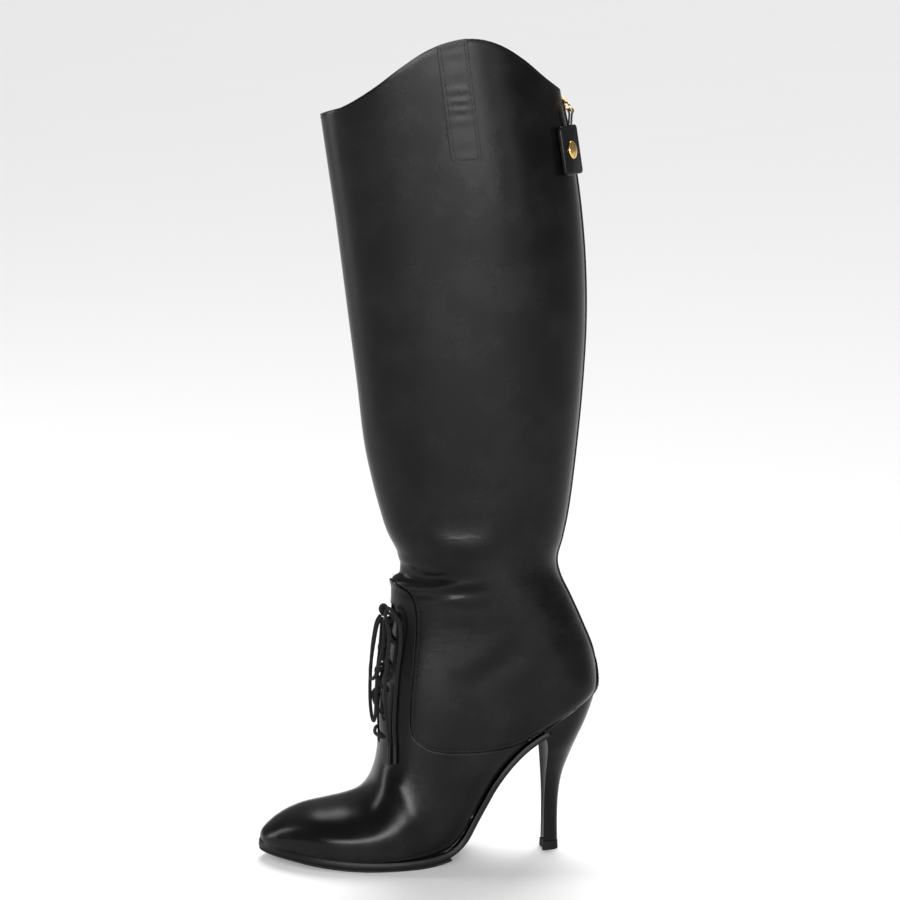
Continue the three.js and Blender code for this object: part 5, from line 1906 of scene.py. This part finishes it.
@dataclass
class Pull(Part):
    """The zip's pull: wire link, leather tag with its loop, and domed stud."""

    zip: Zip
    link_wire: float = 1.2
    link_width: float = 5.2
    link_reach: float = 15.5
    link_hang: float = 13.5
    lean: float = math.pi / 15
    arch_gap: float = 2.0
    tag: tuple[float, float, float] = (29.5, 23.5, 2.4)
    tag_corner: float = 2.35
    tag_side: float = -18.0
    tag_level: float = 437.8
    tag_lift: float = 2.1
    loop_side: float = -0.2
    loop_eye: float = 1.45
    loop_half: float = 0.75
    loop_width: float = 2.8
    loop_root: float = 2.0
    loop_neck: float = 3.2
    seam: float = 1.7
    seam_corner: float = 1.4
    stitch: Stitch = Stitch(1.8, 0.7, 0.42)
    stud: float = 11.0
    stud_height: float = 1.9
    stud_profile: tuple = (
        (0.0, 0.0), (0.5, 0.0), (0.5, 0.3), (0.47, 0.52), (0.43, 0.56), (0.41, 0.66), (0.25, 0.91), (0.0, 1.0),
    )

    def link_spot(self, side: Array, down: Array) -> Array:
        """Finds points in the link's plane.

        Args:
            side: Their sides.
            down: Their distances down from the arch.

        Returns:
            The points.
        """
        point, up, away = place_on_back(self.last, 0.0, self.zip.slider_level, 0.0)
        heading = math.sin(self.lean) * away - math.cos(self.lean) * up
        spots = point + away * self.arch_gap / 2 + heading * np.asarray(down)[..., None]
        spots[..., 1] = side
        return spots

    def build(self) -> None:
        """Builds the link, the tag with its loop and stitches, and the stud."""
        half, start = self.link_width / 2, -self.link_reach / 2
        turn = np.linspace(-math.pi / 2, math.pi / 2, 15)
        bow, climb = half * np.cos(turn), half * np.sin(turn)
        side = np.concatenate([[start], bow, [start], -self.link_reach - bow, [start]])
        down = np.concatenate([[0.0], half + climb, [self.link_width], half - climb, [0.0]])
        link = tube(self.link_spot(side, down), self.link_wire / 2, 12, closed=True)
        finish_piece("pull_link_wire", link, [self.looks.brass], ["pull_link"], "pull")
        where = basis(*place_on_back(self.last, self.tag_side, self.tag_level, self.tag_lift))
        plate = flat_block(self.tag, self.tag_corner, 6)
        bmesh.ops.transform(plate, matrix=where, verts=plate.verts[:])
        tag = finish_piece("pull_tag_leather", plate, [self.looks.trim_calf], ["pull_tag"], "pull")
        round_edges(tag, 0.6, 3, 40.0)
        self._loop(where)
        self._stitches(where)
        self._stud(where)

    def _loop(self, where: Matrix) -> None:
        """Folds the tag's narrow loop round the link.

        Args:
            where: The tag's frame.
        """
        height, width, _ = self.tag
        top = np.array(where @ Vector((height / 2, self.loop_side * width, 0)))
        middle = self.link_spot(np.array(-self.link_hang), np.array(self.link_width))
        length = float(np.linalg.norm(middle - top))
        rise = (middle - top) / length
        across = unit(INWARD - rise * rise[1])
        away = np.cross(across, rise)
        turn = np.linspace(-0.9, math.pi + 0.9, 17)
        legs = np.array([-self.loop_root, length - self.loop_neck])
        half = np.full(2, self.loop_half)
        out = np.concatenate([half, self.loop_eye * np.cos(turn), -half])
        along = np.concatenate([legs, length + self.loop_eye * np.sin(turn), legs[::-1]])
        path = smooth_line(np.stack([out, along], -1), 60)
        points = top + away * path[:, :1] + rise * path[:, 1:]
        column, row = lattice(5, len(points))
        ribbon = grid(5, len(points), points[row] + across * ((column / 4 - 0.5) * self.loop_width)[:, None])
        piece = finish_piece("pull_loop_leather", ribbon, [self.looks.trim_calf], (), "pull")
        give_wall(piece, 0.8, offset=0)
        round_edges(piece, 0.2)

    def _stitches(self, where: Matrix) -> None:
        """Sews round the tag, inside its edge.

        Args:
            where: The tag's frame.
        """
        height, width, thickness = self.tag
        corner, inset = self.seam_corner, self.seam + self.seam_corner
        route = []
        for quarter, (way_x, way_y) in enumerate(((1, 1), (-1, 1), (-1, -1), (1, -1))):
            x, y = way_x * (height / 2 - inset), way_y * (width / 2 - inset)
            turns = [(quarter + step / 6) * math.pi / 2 for step in range(7)]
            route += [(x + corner * math.cos(angle), y + corner * math.sin(angle)) for angle in turns]
        flat = np.array([*route, route[0]])
        run = running(flat)
        even = (np.interp(np.linspace(0, run[-1], 400), run, column) for column in flat.T)
        points = np.array([where @ Vector((x, y, thickness / 2 + 0.06)) for x, y in zip(*even)])
        away = np.array(where.to_3x3() @ Vector((0, 0, 1)))
        rows = bmesh.new()
        self.stitch.sew(rows, points, np.tile(away, (len(points), 1)))
        finish_piece("pull_tag_stitches", rows, [self.looks.thread], (), "pull")

    def _stud(self, where: Matrix) -> None:
        """Turns the domed stud.

        Args:
            where: The tag's frame.
        """
        dome = bmesh.new()
        low = self.tag[2] / 2 + 0.05
        verts = [dome.verts.new((r * self.stud, 0, low + h * self.stud_height)) for r, h in self.stud_profile]
        edges = [dome.edges.new(pair) for pair in zip(verts, verts[1:])]
        turning = {"cent": (0, 0, 0), "axis": (0, 0, 1), "angle": 2 * math.pi, "steps": 40}
        bmesh.ops.spin(dome, geom=verts + edges, use_merge=True, **turning)
        weld(dome)
        face_outwards(dome)
        bmesh.ops.transform(dome, matrix=where, verts=dome.verts[:])
        piece = finish_piece("pull_stud_brass", dome, [self.looks.brass], ["pull_stud"], "pull")
        smooth = piece.modifiers.new("smooth", "SUBSURF")
        smooth.levels = smooth.render_levels = 1


@dataclass
class Lacing(Part):
    """The round lace: bar, crossings, knot, two loops and two ends with their tips."""

    diameter: float = 2.2
    lift: float = 2.75
    hole_lift: float = -0.9
    tip_length: float = 12.0
    tip_diameter: float = 2.5
    knot_level: float = 155.4
    knot_lift: float = 4.9
    knot_turns: tuple = ((-2.3, 0.9), (0.0, 0.7), (2.2, -0.6))

    def path(self, route: Sequence[tuple[float, float, float]], count: int = 60) -> Array:
        """Lays a route on the front.

        Args:
            route: Side, height and lift off the last of each point.
            count: How many points the line gets.

        Returns:
            The line's points.
        """
        rows = np.array(route)
        place, angle = self.last.find_end(rows[:, :2], Face.FRONT)
        return smooth_line(self.last.point(place, angle) + self.last.normal(place, angle) * rows[:, 2:], count)

    def lace(self, name: str, path: Array, replaced: Sequence[str]) -> bpy.types.Object:
        """Makes a length of the braid.

        Args:
            name: The piece's name.
            path: Its middle line.
            replaced: The construction nodes that it stands for.

        Returns:
            The piece.
        """
        return finish_piece(name, tube(path, self.diameter / 2, 12), [self.looks.lace], replaced)

    def build(self) -> None:
        """Laces the boot and ties the bow."""
        heights, side = EYELET_HEIGHTS, EYELET_SIDE
        low, high, first = self.hole_lift, self.lift, EYELET_HEIGHTS[0]
        bar = ((-side, first, low), (-side + 1.5, first, high), (0, first - 0.3, high + 0.2))
        bar += ((side - 1.5, first, high), (side, first, low))
        self.lace("lace_bar_braid", self.path(bar), ["lace_bar"])
        for k in range(len(heights) - 2):
            start, end = heights[k + 1], heights[k + 2] - self.diameter
            rise = end - start
            for way, over in ((-1, 1.25), (1, -0.75)):
                route = (
                    (way * side, start, low),
                    (way * (side - 1.3), start + 0.9, high),
                    (way * 6, start + rise * 0.4, high + 0.4 + over * 0.5),
                    (0, start + rise * 0.74, high + over),
                    (-way * 3.0, start + rise * 0.93, high - 0.9 + over * 0.4),
                    (-way * 5.3, end + 0.4, -0.75),
                )
                name = f"lace_cross_{k + 1}_{'outer' if way < 0 else 'inner'}"
                nodes = [f"lace_crossing_{k + 1}"] if way < 0 else []
                self.lace(name, self.path(route), nodes)
        self._bow(self._knot())

    def _knot(self) -> bpy.types.Object:
        """Ties the knot from three turns round the two strands of the top holes.

        Returns:
            The turns.
        """
        level, lift, side, top = self.knot_level, self.knot_lift, EYELET_SIDE, EYELET_HEIGHTS[-1]
        for way, name in ((-1, "lace_top_outer"), (1, "lace_top_inner")):
            route = (
                (way * side, top, self.hole_lift),
                (way * (side - 1.5), top + 0.5, self.lift),
                (way * 8, top + 2, self.lift + 0.5),
                (way * 4.5, level - 0.4, lift - 0.8),
                (0, level + way * 0.5, lift - 0.2),
            )
            self.lace(name, self.path(route), [])
        x, y, z = self.path(((-1, level, lift), (0, level, lift), (1, level, lift)), 3)[1]
        turns = bmesh.new()
        turn = np.linspace(0, 2 * math.pi, 33)
        cosine, sine = np.cos(turn), np.sin(turn)
        for offset, slant in self.knot_turns:
            path = np.stack([x - 1.9 * cosine, y + offset + slant * sine, z + 2.5 * sine], -1)
            add_mesh(turns, tube(path, self.diameter / 2, 12, closed=True))
        return finish_piece("lace_knot_turns", turns, [self.looks.lace], ["lace_knot"])

    def _bow(self, knot: bpy.types.Object) -> None:
        """Hangs the two loops and the two ends from the knot, each a cord of its own.

        Args:
            knot: The knot's turns. Not used.
        """
        for node, route in BOW_ROUTES.items():
            name = f"{node}_braid"
            path = self.path(route, 12 * len(route))
            cord = self.lace(name, path, [node])
            tips = []
            if node.endswith("end"):
                run = running(path)
                sleeve = tube(path[run > run[-1] - self.tip_length], self.tip_diameter / 2, 14)
                tips.append(finish_piece(f"{name}_tip", sleeve, [self.looks.teeth]))
                round_edges(tips[0], 0.3)


@dataclass
class Seams(Part):
    """Stitch rows of the collar and of the zip's folded edges, and those edges."""

    upper: Upper
    below: float = 1.7
    section_height: float = 24.0
    stitch: Stitch = Stitch(1.9, 0.7, 0.4)
    stitch_lift: float = 0.05
    zip_seam: float = 2.0
    fold_side: float = 0.6
    fold_radius: float = 1.05
    fold_lift: float = -0.1

    def build(self) -> None:
        """Sews the rows and folds the edges."""
        last, upper = self.last, self.upper
        tops = upper.tops()
        column = np.linspace(0, len(tops) - 1, 900)
        place = np.interp(column, np.arange(len(tops)), tops)
        angle = upper.angle(column, place)
        place = place - self.below / self.section_height
        points, away = last.surface(place, angle, self.stitch_lift), last.normal(place, angle)
        keep = ~((np.abs(points[:, 1]) < upper.zip_half + 1) & (points[:, 0] > -20))
        first, stop = int(np.argmin(keep)), len(keep) - int(np.argmin(keep[::-1]))
        rows = bmesh.new()
        self.stitch.sew(rows, points[:first], away[:first])
        self.stitch.sew(rows, points[stop:], away[stop:])
        heights = np.linspace(upper.zip_bottom - 1.5, 466.0, 700)
        for side in (-upper.zip_half - self.zip_seam, upper.zip_half + self.zip_seam):
            place, angle = last.find_end(np.stack([np.full(heights.shape, side), heights], -1), Face.BACK)
            self.stitch.sew(rows, last.surface(place, angle, self.stitch_lift), last.normal(place, angle))
        finish_piece("collar_and_zip_stitches", rows, [self.looks.thread])
        self._folds()

    def _folds(self) -> None:
        """Folds the leather over along both edges of the zip."""
        folds = bmesh.new()
        last, half = self.last, self.upper.zip_half + self.fold_side
        heights = np.linspace(self.upper.zip_bottom - 1.0, 467.5, 240)
        for side in (-half, half):
            place, angle = last.find_end(np.stack([np.full(heights.shape, side), heights], -1), Face.BACK)
            add_mesh(folds, tube(last.surface(place, angle, self.fold_lift), self.fold_radius))
        finish_piece("zip_folds", folds, [self.looks.trim_calf])


class Studio:
    """The camera, the plain floor and the soft lights."""

    LOCATION = (-0.34093, -1.98054, 0.615)
    TILT, TURN = 79.78034, -8.0
    LENS, SENSOR = 133.28, 36.0
    MIDDLE = (-0.08, 0.0, 0.25)
    FLOOR = 40.0
    SKY = 0.22
    SUN_FROM, SUN_STRENGTH, SUN_WIDTH = (0.3, 1.0, 1.6), 2.6, 40.0
    SOFT_LIGHTS = (
        # name, spot, size, watts
        ("front", (-0.4, -3.0, 0.84), (3.4, 0.62), 170.0),
        ("left", (-2.2, 0.7, 0.9), (0.5, 1.8), 25.0),
        ("right", (1.3, -1.9, 1.0), (0.4, 1.4), 6.0),
    )

    def add(self, name: str, data: bpy.types.ID, spot: Sequence[float] = (0.0, 0.0, 0.0)) -> bpy.types.Object:
        """Puts a camera, a light or a mesh in the scene.

        Args:
            name: Its name.
            data: What it is.
            spot: Where it stands or hangs, in metres.

        Returns:
            The new object.
        """
        made = bpy.data.objects.new(name, data)
        made.location = spot
        bpy.context.scene.collection.objects.link(made)
        return made

    def camera(self) -> None:
        """Sets the camera where the photograph was taken from."""
        data = bpy.data.cameras.new("camera")
        data.lens, data.sensor_width = self.LENS, self.SENSOR
        camera = self.add("camera", data, self.LOCATION)
        camera.rotation_euler = (math.radians(self.TILT), 0.0, math.radians(self.TURN))
        bpy.context.scene.camera = camera

    def lights(self) -> None:
        """Hangs the wide distant light and the soft rectangular ones."""
        data = bpy.data.lights.new("top", "SUN")
        data.energy, data.angle = self.SUN_STRENGTH, math.radians(self.SUN_WIDTH)
        self.add("top", data).rotation_euler = (-Vector(self.SUN_FROM)).to_track_quat("-Z", "Y").to_euler()
        for name, spot, size, watts in self.SOFT_LIGHTS:
            data = bpy.data.lights.new(name, "AREA")
            data.shape, data.energy = "RECTANGLE", watts
            data.size, data.size_y = size
            way = Vector(self.MIDDLE) - Vector(spot)
            self.add(name, data, spot).rotation_euler = way.to_track_quat("-Z", "Y").to_euler()

    def build(self) -> None:
        """Lays the floor, hangs the lights and sets the sky."""
        sheet = bmesh.new()
        bmesh.ops.create_grid(sheet, x_segments=1, y_segments=1, size=self.FLOOR)
        data = bpy.data.meshes.new("floor")
        sheet.to_mesh(data)
        sheet.free()
        data.materials.append(Floor("floor").material())
        self.add("floor", data)
        self.lights()
        world = bpy.data.worlds.new("sky")
        world.use_nodes = True
        sky = world.node_tree.nodes["Background"].inputs
        sky["Color"].default_value, sky["Strength"].default_value = (1, 1, 1, 1), self.SKY
        bpy.context.scene.world = world
        bpy.context.scene.view_settings.view_transform = "Standard"


def main() -> None:
    """Builds the boot and the studio."""
    logging.basicConfig(level=logging.INFO, format="%(name)s %(message)s")
    studio = Studio()
    studio.camera()
    last = Last()
    sole = SoleLine(last)
    looks = Finishes()
    upper, zipper = Upper(looks, last, sole), Zip(looks, last)
    leather = (upper, Vamp(looks, last), Tongue(looks, last), PullStrap(looks, last), BackStay(looks, last))
    bottom = (Seams(looks, last, upper), Sole(looks, last, sole), Heel(looks, last, sole))
    for part in (Lacing(looks, last), *leather, *bottom, zipper, Pull(looks, last, zipper)):
        part.build()
        LOG.info("%s is built", type(part).__name__)
    studio.build()


if __name__ == "__main__":
    main()
